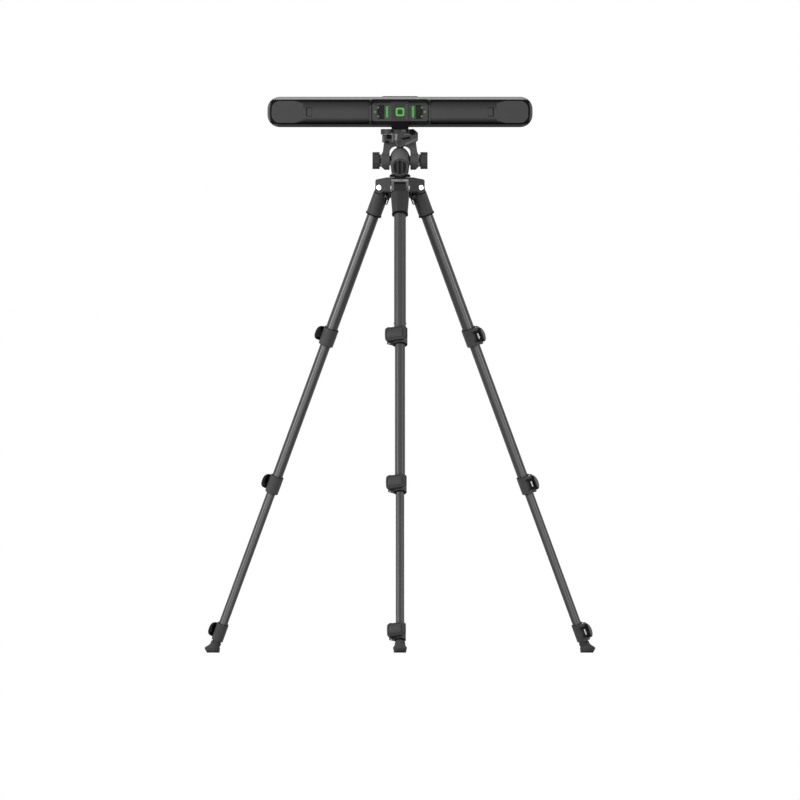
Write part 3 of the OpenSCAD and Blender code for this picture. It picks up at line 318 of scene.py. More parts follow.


# The rim of the control side, paler as a painted highlight: its depth, its width, its top band, where its ends
# turn paler, and its tones
RIM_DEPTH = (9 * MM, 4 * MM)
RIM_WIDTH = (5.8 * MM, 4.2 * MM)
RIM_TOP = (24.8 * MM, 28.8 * MM)
RIM_ENDS = (255 * MM, 275 * MM)
RIM_HIGHLIGHT_TONE = grey(0.046)
RIM_END_HIGHLIGHT_TONE = grey(0.115)
RIM_TOP_HIGHLIGHT_TONE = grey(0.38)

# The housing's posts beside the panel, paler as a painted highlight
POSTS = (61.6 * MM, 67.2 * MM, 0.6 * MM)
POST_HEIGHT = (-17 * MM, 12 * MM, 4 * MM)
POST_HIGHLIGHT_TONE = grey(0.08)


def rim_highlights(tree, where, colour):
    """Painted highlights: a paler rim round the control side, palest along its top, and paler posts beside the
    panel.
    """
    place = bar_place(tree, where)
    front = ramp(tree, place["depth"], *RIM_DEPTH)
    past_x = math_node(tree, "SUBTRACT", place["across"], bar_high.x - BAR_CORNER)
    past_z = math_node(tree, "SUBTRACT", place["aside"], bar_high.z - bar_z - BAR_CORNER)
    outward = add_node(tree, "ShaderNodeCombineXYZ", X=math_node(tree, "MAXIMUM", past_x),
                       Y=math_node(tree, "MAXIMUM", past_z))
    inset = math_node(tree, "SUBTRACT", BAR_CORNER, length_of(tree, outward.outputs[0]))
    tone = mix_colour(tree, ramp(tree, place["across"], *RIM_ENDS), RIM_HIGHLIGHT_TONE, RIM_END_HIGHLIGHT_TONE)
    colour = mix_colour(tree, times(tree, ramp(tree, inset, *RIM_WIDTH), front), colour, tone)
    posts = times(tree, band(tree, place["across"], *POSTS), band(tree, place["up"], *POST_HEIGHT))
    colour = mix_colour(tree, posts, colour, POST_HIGHLIGHT_TONE)
    return mix_colour(tree, times(tree, ramp(tree, place["up"], *RIM_TOP), front), colour, RIM_TOP_HIGHLIGHT_TONE)


def vary_roughness(tree, shader, noise, rough, swing):
    """Roughness that swings about its level with a noise value."""
    sheen = add_node(tree, "ShaderNodeMapRange", Value=noise, From_Min=0.3, From_Max=0.7,
                     To_Min=rough - swing, To_Max=rough + swing)
    tree.links.new(sheen.outputs[0], shader.inputs["Roughness"])


def raise_surface(tree, shader, height, strength, depth):
    bump = add_node(tree, "ShaderNodeBump", Strength=strength, Distance=depth, Height=height)
    tree.links.new(bump.outputs[0], shader.inputs["Normal"])


# How much paler a worn edge, with its painted highlight, is than its surface
PALE_EDGE_GAIN = 3.0
PALE_EDGE_LIFT = 0.02


def moulded(name, dark, light, rough, grain_mm=0.6, relief=0.12, drift_mm=60.0, wear_and_highlight=0.25, specular=0.5,
            shade=None):
    """Moulded or coated surface: two close tones that drift, fine grain, and paler worn edges that also carry a
    painted highlight.

    Shade is a function that paints light and shade into the colour by place.
    """
    material, tree, shader = start_material(name)
    where = object_place(tree)
    grain = place_group(tree, GRAIN, Vector=where, Grain_Size=grain_mm, Drift_Size=drift_mm)
    worn_and_lit = place_group(tree, WEAR_AND_HIGHLIGHT, Vector=where)
    tone = mix_colour(tree, grain.outputs["Drift"], dark, light)
    pale = tuple(min(1.0, c * PALE_EDGE_GAIN + PALE_EDGE_LIFT) for c in light[:3]) + (1.0,)
    colour = mix_colour(tree, times(tree, worn_and_lit.outputs["Mask"], wear_and_highlight), tone, pale)
    if shade:
        colour = shade(tree, where, colour)
    tree.links.new(colour, shader.inputs["Base Color"])
    vary_roughness(tree, shader, grain.outputs["Drift"], rough, 0.05)
    raise_surface(tree, shader, grain.outputs["Height"], relief, 0.4 * MM)
    shader.inputs["Specular IOR Level"].default_value = specular
    return material


def brush(tree, shader, lines, rough, metallic):
    """Roughness and relief that follow fine lines in metal."""
    vary_roughness(tree, shader, lines.outputs["Height"], rough, 0.06)
    raise_surface(tree, shader, lines.outputs["Height"], 0.08, 0.2 * MM)
    shader.inputs["Metallic"].default_value = metallic


def brushed(name, dark, light, rough, metallic):
    """Metal with fine upright lines."""
    material, tree, shader = start_material(name)
    lines = place_group(tree, BRUSHING, Vector=object_place(tree))
    tree.links.new(mix_colour(tree, lines.outputs["Tone"], dark, light), shader.inputs["Base Color"])
    brush(tree, shader, lines, rough, metallic)
    return material


def glowing(name, rim, core, strength):
    """Lit light guide, its tone drifting a little over it."""
    material, tree, shader = start_material(name)
    where = object_place(tree)
    grain = place_group(tree, GRAIN, Vector=where, Grain_Size=0.8, Drift_Size=6.0)
    tone = mix_colour(tree, grain.outputs["Drift"], rim, core)
    tree.links.new(tone, shader.inputs["Base Color"])
    tree.links.new(tone, shader.inputs["Emission Color"])
    shader.inputs["Emission Strength"].default_value = strength
    shader.inputs["Roughness"].default_value = 0.35
    return material


def dark_glass(name):
    """Infrared window: near black, glossy, with a faint violet cast."""
    material, tree, shader = start_material(name)
    where = object_place(tree)
    grain = place_group(tree, GRAIN, Vector=where, Grain_Size=2.0, Drift_Size=30.0)
    tone = mix_colour(tree, grain.outputs["Drift"], (0.004, 0.003, 0.006, 1), (0.010, 0.007, 0.014, 1))
    tree.links.new(tone, shader.inputs["Base Color"])
    smear = add_node(tree, "ShaderNodeMapRange", Value=grain.outputs["Drift"], To_Min=0.03, To_Max=0.10)
    tree.links.new(smear.outputs[0], shader.inputs["Roughness"])
    shader.inputs["Coat Weight"].default_value = 0.6
    return material


# A leg tube's channels, across the leg: their edges, dark as painted shade, then the floor inside and the band
# beside them, pale as a painted highlight
CHANNEL_HALF = 2.6 * MM
CHANNEL_EDGE = (0.3 * MM, 0.9 * MM)
CHANNEL_SHADE_SHARE = 0.8
CHANNEL_SHADE_TONE = grey(0.012)
CHANNEL_FLOOR = (2.4 * MM, 1.4 * MM)
HIGHLIGHT_BAND_START = (-2.4 * MM, -3.4 * MM)
HIGHLIGHT_BAND_END = (-9.5 * MM, -3.8 * MM)
HIGHLIGHT_BAND_TONE = grey(0.20)


def tube_metal(name, dark, light, rough, metallic):
    """Anodised tube: fine lines along it, painted shade on the edges of its two channels, and a painted highlight
    on their floor and in a band beside them.
    """
    material, tree, shader = start_material(name)
    where = add_node(tree, "ShaderNodeAttribute", {"attribute_name": "leg_place"}).outputs["Vector"]
    lines = place_group(tree, BRUSHING, Vector=where)
    tone = mix_colour(tree, lines.outputs["Tone"], dark, light)
    across = add_node(tree, "ShaderNodeSeparateXYZ", Vector=where).outputs["X"]
    off_middle = math_node(tree, "ABSOLUTE", across)
    off_edge = math_node(tree, "ABSOLUTE", math_node(tree, "SUBTRACT", off_middle, CHANNEL_HALF))
    channel_shade = add_node(tree, "ShaderNodeMapRange", Value=off_edge, From_Min=CHANNEL_EDGE[0],
                    From_Max=CHANNEL_EDGE[1], To_Min=CHANNEL_SHADE_SHARE, To_Max=0.0)
    beside = times(tree, ramp(tree, across, *HIGHLIGHT_BAND_START), ramp(tree, across, *HIGHLIGHT_BAND_END))
    inside = ramp(tree, off_middle, *CHANNEL_FLOOR)
    tube_highlight = mix_colour(tree, math_node(tree, "MAXIMUM", beside, inside), tone, HIGHLIGHT_BAND_TONE)
    tree.links.new(mix_colour(tree, channel_shade.outputs[0], tube_highlight, CHANNEL_SHADE_TONE), shader.inputs["Base Color"])
    brush(tree, shader, lines, rough, metallic)
    shader.inputs["Specular IOR Level"].default_value = 0.3
    return material


# How the painted glow of the ring's green light fades in from the key's edge
KEY_GLOW = (2.2 * MM, 5.2 * MM)
NO_GLOW = (0.0, 0.0, 0.0, 1.0)
GREEN_GLOW = (0.01, 0.16, 0.015, 1.0)


def key_look(name):
    """Dark key with a painted glow of green light from the ring round it."""
    material, tree, shader = start_material(name)
    where = object_place(tree)
    place = add_node(tree, "ShaderNodeSeparateXYZ", Vector=where).outputs
    low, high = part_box("power_button")
    across = math_node(tree, "ABSOLUTE", place["X"])
    up = math_node(tree, "ABSOLUTE", math_node(tree, "SUBTRACT", place["Z"], (low.z + high.z) / 2))
    edge = add_node(tree, "ShaderNodeMapRange", Value=math_node(tree, "MAXIMUM", across, up),
                    From_Min=KEY_GLOW[0], From_Max=KEY_GLOW[1])
    grain = place_group(tree, GRAIN, Vector=where, Grain_Size=0.5, Drift_Size=20.0)
    dark = mix_colour(tree, grain.outputs["Drift"], grey(0.030), grey(0.038))
    tree.links.new(dark, shader.inputs["Base Color"])
    glow = mix_colour(tree, edge.outputs[0], NO_GLOW, GREEN_GLOW)
    tree.links.new(glow, shader.inputs["Emission Color"])
    shader.inputs["Emission Strength"].default_value = 0.6
    shader.inputs["Roughness"].default_value = 0.5
    shader.inputs["Specular IOR Level"].default_value = PLASTIC
    return material


# Specular levels
PLASTIC = 0.2
MATT = 0.1

LOOKS = {
    "housing": moulded("housing_plastic", grey(0.014), grey(0.018), 0.40, 0.5, 0.0, wear_and_highlight=0.0, specular=0.09,
                       shade=rim_highlights),
    "grip": moulded("grip_plastic", grey(0.059), grey(0.066), 0.55, 0.7, 0.20, specular=PLASTIC,
                    shade=strip_shade),
    "panel": moulded("panel_plastic", grey(0.062), grey(0.068), 0.50, 0.4, 0.10, specular=PLASTIC,
                     shade=panel_shade),
    "lights": glowing("green_light", (0.05, 0.36, 0.04, 1), (0.12, 0.46, 0.08, 1), 0.45),
    "glass": dark_glass("window_glass"),
    "emitters": moulded("emitter_resin", (0.020, 0.006, 0.008, 1), (0.030, 0.010, 0.012, 1), 0.25),
    "camera": moulded("camera_black", grey(0.010), grey(0.014), 0.45, specular=PLASTIC),
    "beam": brushed("beam_metal", grey(0.20), grey(0.28), 0.40, 0.9),
    "battery": moulded("battery_wrap", (0.020, 0.050, 0.110, 1), (0.030, 0.065, 0.130, 1), 0.35),
    "board": moulded("circuit_board", (0.010, 0.060, 0.022, 1), (0.016, 0.085, 0.032, 1), 0.40),
    "steel": brushed("bright_steel", grey(0.62), grey(0.80), 0.22, 1.0),
    "black_foot": moulded("foot_black", grey(0.0045), grey(0.0065), 0.60, specular=0.05, wear_and_highlight=0.05),
    "head": moulded("powder_coat", grey(0.076), grey(0.086), 0.50, 0.9, 0.22, wear_and_highlight=0.2, specular=PLASTIC),
    "knob": moulded("knob_rubber", grey(0.048), grey(0.056), 0.58, 0.6, 0.20, specular=PLASTIC),
    "tube": tube_metal("gunmetal_tube", grey(0.054), grey(0.068), 0.36, 0.2),
    "casting": moulded("shoulder_plastic", grey(0.058), grey(0.068), 0.50, 0.8, 0.18, specular=PLASTIC),
    "stop": moulded("stop_black", grey(0.010), grey(0.014), 0.50, specular=MATT),
    "lever": moulded("lever_plastic", grey(0.048), grey(0.058), 0.46, 0.6, 0.14, specular=PLASTIC),
    "foot": moulded("boot_rubber", grey(0.064), grey(0.074), 0.66, 1.0, 0.30, wear_and_highlight=0.1, specular=MATT),
}
# Near black for dark parts, and as painted shade in pockets, vents and gaps
BLACK_AND_SHADE = moulded("recess_black", grey(0.005), grey(0.008), 0.60, specular=0.05, wear_and_highlight=0.0)
# Pale as a painted highlight on the clamp's ribs, the plate's pads and the lever caps' knuckle ends
PALE_HIGHLIGHT = moulded("pale_cast", grey(0.13), grey(0.16), 0.45, 0.9, 0.15, wear_and_highlight=0.3, specular=PLASTIC)
# Brighter still as a painted highlight on the clamp's post and the spider's arches
BRIGHT_HIGHLIGHT = moulded("bare_cast", grey(0.26), grey(0.31), 0.42, 0.9, 0.15, wear_and_highlight=0.3, specular=PLASTIC)
CLAMP_CAST = moulded("clamp_cast", grey(0.051), grey(0.061), 0.50, 0.9, 0.22, wear_and_highlight=0.2, specular=PLASTIC)
PAN_CAST = moulded("pan_cast", grey(0.120), grey(0.136), 0.48, 0.9, 0.18, wear_and_highlight=0.2, specular=PLASTIC)
SPIDER_CAST = moulded("spider_cast", grey(0.033), grey(0.043), 0.50, 0.9, 0.22, wear_and_highlight=0.12, specular=PLASTIC)
SCREW_GREY = brushed("screw_grey", grey(0.26), grey(0.34), 0.35, 0.6)
CLAMP = moulded("clamp_plastic", grey(0.062), grey(0.074), 0.48, 0.6, 0.12, specular=PLASTIC)
# Near black as painted shade on the lever plates and the caps' tip ends
LEVER_SHADE = moulded("lever_base", grey(0.006), grey(0.010), 0.50, specular=MATT, wear_and_highlight=0.1)
# Pale grey as a painted highlight on the pan knob's edge and the stop ribs
EDGE_HIGHLIGHT = moulded("edge_grey", grey(0.11), grey(0.13), 0.45, specular=PLASTIC)
# Darker tone for the pan knob, and as painted shade on the front leg's shoulder
DARK_CAST = moulded("dark_cast", grey(0.030), grey(0.037), 0.50, 0.8, 0.18, specular=PLASTIC)
# Dark as painted shade on the shoulders' tongues
TONGUE_SHADE = moulded("tongue_plastic", grey(0.017), grey(0.023), 0.55, 0.8, 0.18, specular=PLASTIC)
SOLE = moulded("sole_rubber", grey(0.040), grey(0.050), 0.70, 1.0, 0.30, wear_and_highlight=0.1, specular=MATT)
# Dark as painted shade on the panel's base plate, in the gaps round the panel
PANEL_GAP_SHADE = moulded("panel_base", grey(0.013), grey(0.017), 0.60, specular=MATT, wear_and_highlight=0.0)
# Pale as a painted highlight along the ridges in the dish's corners
RIDGE_HIGHLIGHT = moulded("ridge_plastic", grey(0.085), grey(0.100), 0.45, 0.4, 0.10, specular=PLASTIC)
LAMP_RESIN = moulded("lamp_resin", (0.050, 0.008, 0.012, 1), (0.080, 0.014, 0.020, 1), 0.15)
SIDE_LIGHT = glowing("side_light", (0.025, 0.27, 0.018, 1), (0.05, 0.34, 0.035, 1), 0.35)
KEY = key_look("power_key")

# Mesh helpers


def welded(mesh):
    """Joins a CAD node's loose triangles into closed shells of flat faces."""
    bm = bmesh.new()
    bm.from_mesh(mesh)
    bmesh.ops.remove_doubles(bm, verts=bm.verts, dist=WELD)
    bmesh.ops.dissolve_limit(bm, angle_limit=FLAT, verts=bm.verts, edges=bm.edges)
    bm.to_mesh(mesh)
    bm.free()


def node_mesh(node):
    """A welded copy of a CAD node's mesh."""
    mesh = frame["nodes"][node].data.copy()
    mesh.name = node + "_dressed"
    welded(mesh)
    return mesh


def vertex_groups(mesh):
    """Lists of the vertices that hang together."""
    bm = bmesh.new()
    bm.from_mesh(mesh)
    left = {v.index: [e.other_vert(v).index for e in v.link_edges] for v in bm.verts}
    bm.free()
    groups = []
    while left:
        group, reach = set(), [next(iter(left))]
        while reach:
            index = reach.pop()
            if index not in group:
                group.add(index)
                reach.extend(left.pop(index))
        groups.append(group)
    return groups


def shells(mesh):
    """The closed shells of a mesh, each as a mesh of its own, largest volume first."""
    found = []
    for keep in vertex_groups(mesh):
        bm = bmesh.new()
        bm.from_mesh(mesh)
        bmesh.ops.delete(bm, geom=[v for v in bm.verts if v.index not in keep], context="VERTS")
        shell = bpy.data.meshes.new(mesh.name + "_shell")
        bm.to_mesh(shell)
        found.append((bm.calc_volume(), shell))
        bm.free()
    return [shell for volume, shell in sorted(found, key=lambda pair: -pair[0])]


def finished(bm, name):
    """A mesh from a bmesh, with its faces outwards."""
    bmesh.ops.recalc_face_normals(bm, faces=bm.faces)
    mesh = bpy.data.meshes.new(name)
    bm.to_mesh(mesh)
    bm.free()
    return mesh


def skin(bm, rows, wrap):
    """Quads between neighbouring rings of vertices. Wrap joins the last ring to the first."""
    pairs = list(zip(rows, rows[1:]))
    if wrap:
        pairs.append((rows[-1], rows[0]))
    count = len(rows[0])
    for low, high in pairs:
        for i in range(count):
            j = (i + 1) % count
            bm.faces.new((low[i], low[j], high[j], high[i]))


def loft(name, rings):
    """A closed form over rings of equally many points, flat at both ends."""
    bm = bmesh.new()
    rows = [[bm.verts.new(p) for p in ring] for ring in rings]
    skin(bm, rows, False)
    bm.faces.new(rows[0])
    bm.faces.new(rows[-1])
    return finished(bm, name)


def turned(name, profile, place, steps=64):
    """A ring turned about the Z axis of place from a closed profile of (radius, height) pairs."""
    bm = bmesh.new()
    turns = [i * 2 * math.pi / steps for i in range(steps)]
    rows = [[bm.verts.new(place @ Vector((r * math.cos(a), r * math.sin(a), h))) for a in turns]
            for r, h in profile]
    skin(bm, rows, True)
    return finished(bm, name)


def flat_ring(inner, outer, low, high):
    """Profile of a plain ring for turned()."""
    return [(inner, low), (outer, low), (outer, high), (inner, high)]


def add_block(bm, low, high, turn=0.0):
    """A box between two corners, turned about the Y axis through its middle."""
    low, high = Vector(low), Vector(high)
    size = Vector(abs(high[i] - low[i]) for i in range(3))
    place = Matrix.Translation((low + high) / 2) @ Matrix.Rotation(turn, 4, "Y")
    bmesh.ops.create_cube(bm, size=1.0, matrix=place @ Matrix.Diagonal((*size, 1.0)))


def add_pin(bm, centre, radius, length):
    """A round pin along Y, with its front face at the centre's Y."""
    middle = Vector(centre) + Vector((0, length / 2, 0))
    place = Matrix.Translation(middle) @ Matrix.Rotation(math.pi / 2, 4, "X")
    bmesh.ops.create_cone(bm, cap_ends=True, segments=40, radius1=radius, radius2=radius, depth=length,
                          matrix=place)


def centroid(mesh):
    """The mean of a mesh's points."""
    return sum((v.co for v in mesh.vertices), Vector()) / len(mesh.vertices)


def settle(obj):
    """Turns an object's modifiers into its mesh."""
    graph = bpy.context.evaluated_depsgraph_get()
    mesh = bpy.data.meshes.new_from_object(obj.evaluated_get(graph))
    obj.modifiers.clear()
    obj.data = mesh


def smooth(mesh):
    """Smooth shading that breaks at sharp edges."""
    for polygon in mesh.polygons:
        polygon.use_smooth = True
    mesh.set_sharp_from_angle(angle=SHARP)


def round_edges(obj, width, segments):
    """Rounds the sharp edges and keeps the flats flat."""
    bevel = obj.modifiers.new("round", "BEVEL")
    bevel.width = width
    bevel.segments = segments
    bevel.limit_method = "ANGLE"
    bevel.angle_limit = SHARP
    bevel.use_clamp_overlap = True
    settle(obj)


def level_flats(obj):
    """Lets the large faces set the normals, so that they shade flat up to their rounded edges."""
    weighted = obj.modifiers.new("level", "WEIGHTED_NORMAL")
    weighted.keep_sharp = True
    settle(obj)


def cut_opening(obj, low, high):
    """Cuts a box between two corners out of a piece."""
    bm = bmesh.new()
    add_block(bm, low, high)
    tool = bpy.data.objects.new("opening", finished(bm, "opening"))
    bpy.context.scene.collection.objects.link(tool)
    boolean = obj.modifiers.new("opening", "BOOLEAN")
    boolean.operation = "DIFFERENCE"
    boolean.solver = "EXACT"
    boolean.object = tool
    settle(obj)
    bpy.data.objects.remove(tool)


def new_object(name, mesh):
    obj = bpy.data.objects.new(name, mesh)
    bpy.context.scene.collection.objects.link(obj)
    return obj


def hand_over(obj, look, body, replaced=(), width=0.5, segments=2):
    """Rounds a piece's edges by width millimetres, gives it its look and hands it to the frame."""
    if width:
        round_edges(obj, width * MM, segments)
    smooth(obj.data)
    if width:
        level_flats(obj)
    obj.data.materials.clear()
    obj.data.materials.append(look)
    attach(obj, body)
    if replaced:
        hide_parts(*replaced)
    return obj


def add_piece(name, mesh, look, body, replaced=(), width=0.5, segments=2):
    return hand_over(new_object(name, mesh), look, body, replaced, width, segments)


def dress(node, look=None, width=0.5, segments=2):
    """Stands a rounded copy of a CAD node in its place, in the look of its slot."""
    slot = slot_of[node]
    return add_piece(node + "_dressed", node_mesh(node), look or LOOKS[slot], body_of[node], (node,),
                     width, segments)


def repaint(obj, look, chosen):
    """Gives a second look to the faces that are chosen by their centre and normal."""
    obj.data.materials.append(look)
    last = len(obj.data.materials) - 1
    for polygon in obj.data.polygons:
        if chosen(polygon.center, polygon.normal):
            polygon.material_index = last


# Geometry Nodes for what repeats


def build_stud_ring():
    """Domed studs evenly round a circle."""
    tree, given, out = new_group(
        "stud_ring", "GeometryNodeTree",
        [("Count", "NodeSocketInt", 12), ("Ring Radius", "NodeSocketFloat", 0.02),
         ("Stud Radius", "NodeSocketFloat", 0.001), ("Turn", "NodeSocketVector", None),
         ("Place", "NodeSocketVector", None), ("Material", "NodeSocketMaterial", None)],
        [("Geometry", "NodeSocketGeometry")])
    circle = add_node(tree, "GeometryNodeMeshCircle", Vertices=given["Count"], Radius=given["Ring Radius"])
    stud = add_node(tree, "GeometryNodeMeshUVSphere", Segments=16, Rings=8, Radius=given["Stud Radius"])
    placed = add_node(tree, "GeometryNodeInstanceOnPoints", Points=circle.outputs[0],
                      Instance=stud.outputs[0])
    turned_ring = add_node(tree, "GeometryNodeTransform", Geometry=placed.outputs[0],
                           Translation=given["Place"], Rotation=given["Turn"])
    close_tree(tree, turned_ring.outputs[0], given["Material"], out)
    return tree


def build_rib_row():
    """Flat ribs one behind the other."""
    tree, given, out = new_group(
        "rib_row", "GeometryNodeTree",
        [("Count", "NodeSocketInt", 3), ("Start", "NodeSocketVector", None),
         ("Step", "NodeSocketVector", None), ("Size", "NodeSocketVector", None),
         ("Turn", "NodeSocketVector", None), ("Material", "NodeSocketMaterial", None)],
        [("Geometry", "NodeSocketGeometry")])
    line = add_node(tree, "GeometryNodeMeshLine", Count=given["Count"], Start_Location=given["Start"],
                    Offset=given["Step"])
    rib = add_node(tree, "GeometryNodeMeshCube", Size=given["Size"])
    placed = add_node(tree, "GeometryNodeInstanceOnPoints", Points=line.outputs[0], Instance=rib.outputs[0],
                      Rotation=given["Turn"])
    close_tree(tree, placed.outputs[0], given["Material"], out)
    return tree


def build_socket_screws():
    """Screw heads with a six-sided socket on the given points."""
    tree, given, out = new_group(
        "socket_screws", "GeometryNodeTree",
        [("Geometry", "NodeSocketGeometry", None), ("Head Radius", "NodeSocketFloat", 0.003),
         ("Head Height", "NodeSocketFloat", 0.0015), ("Turn", "NodeSocketVector", None),
         ("Material", "NodeSocketMaterial", None)],
        [("Geometry", "NodeSocketGeometry")])
    head = add_node(tree, "GeometryNodeMeshCylinder", Vertices=32, Radius=given["Head Radius"],
                    Depth=given["Head Height"])
    drill = add_node(tree, "GeometryNodeMeshCylinder", Vertices=6,
                     Radius=times(tree, given["Head Radius"], 0.5), Depth=given["Head Height"])
    lift = add_node(tree, "ShaderNodeCombineXYZ", Z=times(tree, given["Head Height"], 0.4))
    raised = add_node(tree, "GeometryNodeTransform", Geometry=drill.outputs[0], Translation=lift.outputs[0])
    socket = add_node(tree, "GeometryNodeMeshBoolean", {"operation": "DIFFERENCE"})
    tree.links.new(head.outputs[0], socket.inputs[0])
    tree.links.new(raised.outputs[0], socket.inputs[1])
    placed = add_node(tree, "GeometryNodeInstanceOnPoints", Points=given["Geometry"],
                      Instance=socket.outputs[0], Rotation=given["Turn"])
    close_tree(tree, placed.outputs[0], given["Material"], out)
    return tree


def close_tree(tree, geometry, material, out):
    """Realizes the instances, sets their material and ends the tree."""
    real = add_node(tree, "GeometryNodeRealizeInstances", Geometry=geometry)
    painted = add_node(tree, "GeometryNodeSetMaterial", Geometry=real.outputs[0], Material=material)
    tree.links.new(painted.outputs[0], out.inputs["Geometry"])


STUD_RING = build_stud_ring()
RIB_ROW = build_rib_row()
SOCKET_SCREWS = build_socket_screws()


def grow(name, tree, points=(), **values):
    """The plain mesh that a tree makes from its named inputs, on the given points."""
    base = bpy.data.meshes.new(name)
    base.from_pydata([tuple(p) for p in points], [], [])
    obj = new_object(name, base)
    modifier = obj.modifiers.new("grow", "NODES")
    modifier.node_group = tree
    for item in tree.interface.items_tree:
        key = item.name.replace(" ", "_")
        if item.in_out == "INPUT" and key in values:
            modifier[item.identifier] = values[key]
    settle(obj)
    mesh = obj.data
    bpy.data.objects.remove(obj)
    return mesh


# Tracker bar

stand_y = (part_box("pan_base")[0].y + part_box("pan_base")[1].y) / 2
panel_low, panel_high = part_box("control_panel")
floor_y = panel_high.y

# Pockets for the panel and the grips, the panel's base plate, the front of its wings, and its vents
PANEL_HALF_X = 61.7 * MM
PANEL_HALF_Z = 27.5 * MM
GRIP_HALF_Z = 26.2 * MM
GRIP_START = 65.8 * MM
POCKET_RIM = 6.5 * MM
BASE_T = 2.3 * MM
WING_Y = bar_low.y - 1.0 * MM
VENT_X = (33.8 * MM, 48.8 * MM)
VENT_Z = 15.5 * MM


def in_pocket(centre, normal):
    """Faces of the pockets that hold the panel and the grips, which take painted shade."""
    if centre.y > floor_y + 0.5 * MM or centre.y < bar_low.y + 0.2 * MM:
        return False
    x, z = abs(centre.x), abs(centre.z - bar_z)
    if x < PANEL_HALF_X:
        return z < PANEL_HALF_Z
    return GRIP_START < x < bar_high.x - POCKET_RIM and z < GRIP_HALF_Z


def in_vent(centre, normal):
    """The insides of the panel's vents, which take painted shade."""
    x, z = abs(centre.x), abs(centre.z - bar_z)
    return VENT_X[0] < x < VENT_X[1] and z < VENT_Z and centre.y > WING_Y + 0.4 * MM


def on_base(centre, normal):
    """The panel's base plate, which takes painted shade."""
    return centre.y > floor_y - BASE_T


# Grip: a soft-edged strip that widens through a neck into the end pad, as rings along X, in millimetres
STRIP_HALF = 24.0
STRIP_SOFT = 12.0
STRIP_DROP = 6.0
PAD_HALF = 24.05
PAD_SOFT = 1.6
PAD_END = 276.3
PAD_CORNER = 17.8
GRIP_DEPTH = 9.9
GRIP_LEAST_T = 0.1

# Where the rings stand: the strip's start with how far each ring sinks, its run, its neck and the pad
STRIP_START = ((66.3, 0.8), (66.9, 0.2), (67.8, 0.0))
NECK = (210.0, 229.0)
STRIP_STOPS = (110.0, 150.0, 180.0, NECK[0])
PAD_STOP = 245.0
RING_STEPS = 16
NECK_STEPS = 12
CORNER_STEPS = 24

# Gaps round a port flap, widest at its finger edge, and how far its cut runs past the grip
PORT_INNER = 0.2 * MM
PORT_OUTER = 1.7 * MM
PORT_EDGE = 0.9 * MM
CUT_PAST = 10 * MM


def fall(drop, share):
    """How far a quarter-round edge has fallen at a share of its width."""
    return drop * (1 - math.sqrt(max(0.0, 1 - share * share)))


def grip_ring(x, half, soft, drop, sink):
    """Section at x: a flat front whose edges fall away by drop over soft."""
    ring = []
    for i in range(2 * RING_STEPS + 1):
        z = half * math.sin((1 - i / RING_STEPS) * math.pi / 2)
        share = max(0.0, (abs(z) - half + soft) / soft)
        ring.append((z, min(GRIP_DEPTH - GRIP_LEAST_T, sink + fall(drop, share))))
    ring += [(-half, GRIP_DEPTH), (half, GRIP_DEPTH)]
    return [Vector((x * MM, bar_low.y + y * MM, bar_z + z * MM)) for z, y in ring]


def grip_rings():
    """Rings from the strip's start through its neck to the pad's round end."""
    rings = [grip_ring(x, STRIP_HALF, STRIP_SOFT, STRIP_DROP, sink) for x, sink in STRIP_START]
    rings += [grip_ring(x, STRIP_HALF, STRIP_SOFT, STRIP_DROP, 0.0) for x in STRIP_STOPS]
    for i in range(1, NECK_STEPS + 1):
        part = i / NECK_STEPS
        eased = part * part * (3 - 2 * part)
        x = NECK[0] + (NECK[1] - NECK[0]) * part
        half = STRIP_HALF + (PAD_HALF - STRIP_HALF) * eased
        soft = STRIP_SOFT + (PAD_SOFT - STRIP_SOFT) * eased
        drop = STRIP_DROP + (PAD_SOFT - STRIP_DROP) * eased
        rings.append(grip_ring(x, half, soft, drop, 0.0))
    rings.append(grip_ring(PAD_STOP, PAD_HALF, PAD_SOFT, PAD_SOFT, 0.0))
    for i in range(CORNER_STEPS + 1):
        turn = i / CORNER_STEPS * math.pi / 2
        x = PAD_END - PAD_CORNER + PAD_CORNER * math.sin(turn)
        half = PAD_HALF - PAD_CORNER * (1 - math.cos(turn))
        share = max(0.0, (x - PAD_END + PAD_SOFT) / PAD_SOFT)
        rings.append(grip_ring(x, half, PAD_SOFT, PAD_SOFT, fall(PAD_SOFT, share)))
    return rings


def dress_grip(side):
    """Grip with an opening for its port flap, and the flap."""
    node = "grip_panel_" + side
    sign = 1 if side == "right" else -1
    rings = [[Vector((sign * p.x, p.y, p.z)) for p in ring] for ring in grip_rings()]
    obj = new_object(node + "_dressed", loft(node + "_dressed", rings))
    low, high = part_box("port_flap_" + side)
    inner, outer = sorted((low.x, high.x), key=abs)
    cut_opening(obj, (inner - sign * PORT_INNER, bar_low.y - CUT_PAST, low.z - PORT_EDGE),
                (outer + sign * PORT_OUTER, floor_y + CUT_PAST, high.z + PORT_EDGE))
    hand_over(obj, LOOKS["grip"], body_of[node], (node,), 0)
    dress("port_flap_" + side, width=0.3)


# Ridges in the corners of the panel's dish, pale as a painted highlight: how far out and how deep both ends lie,
# and their thickness
RIDGE_START = (9.8 * MM, 2.7 * MM)
RIDGE_END = (16.6 * MM, -0.1 * MM)
RIDGE_T = 1.1 * MM

# Lip over the panel's centre block: its section as depth and height, and its ends, in millimetres
LIP_SECTION = ((0.1, 18.0), (-0.1, 18.4), (0.4, 19.6), (3.4, 22.2), (5.0, 22.2), (5.0, 18.0))
LIP_STOPS = (-18.6, -18.0, 18.0, 18.6)


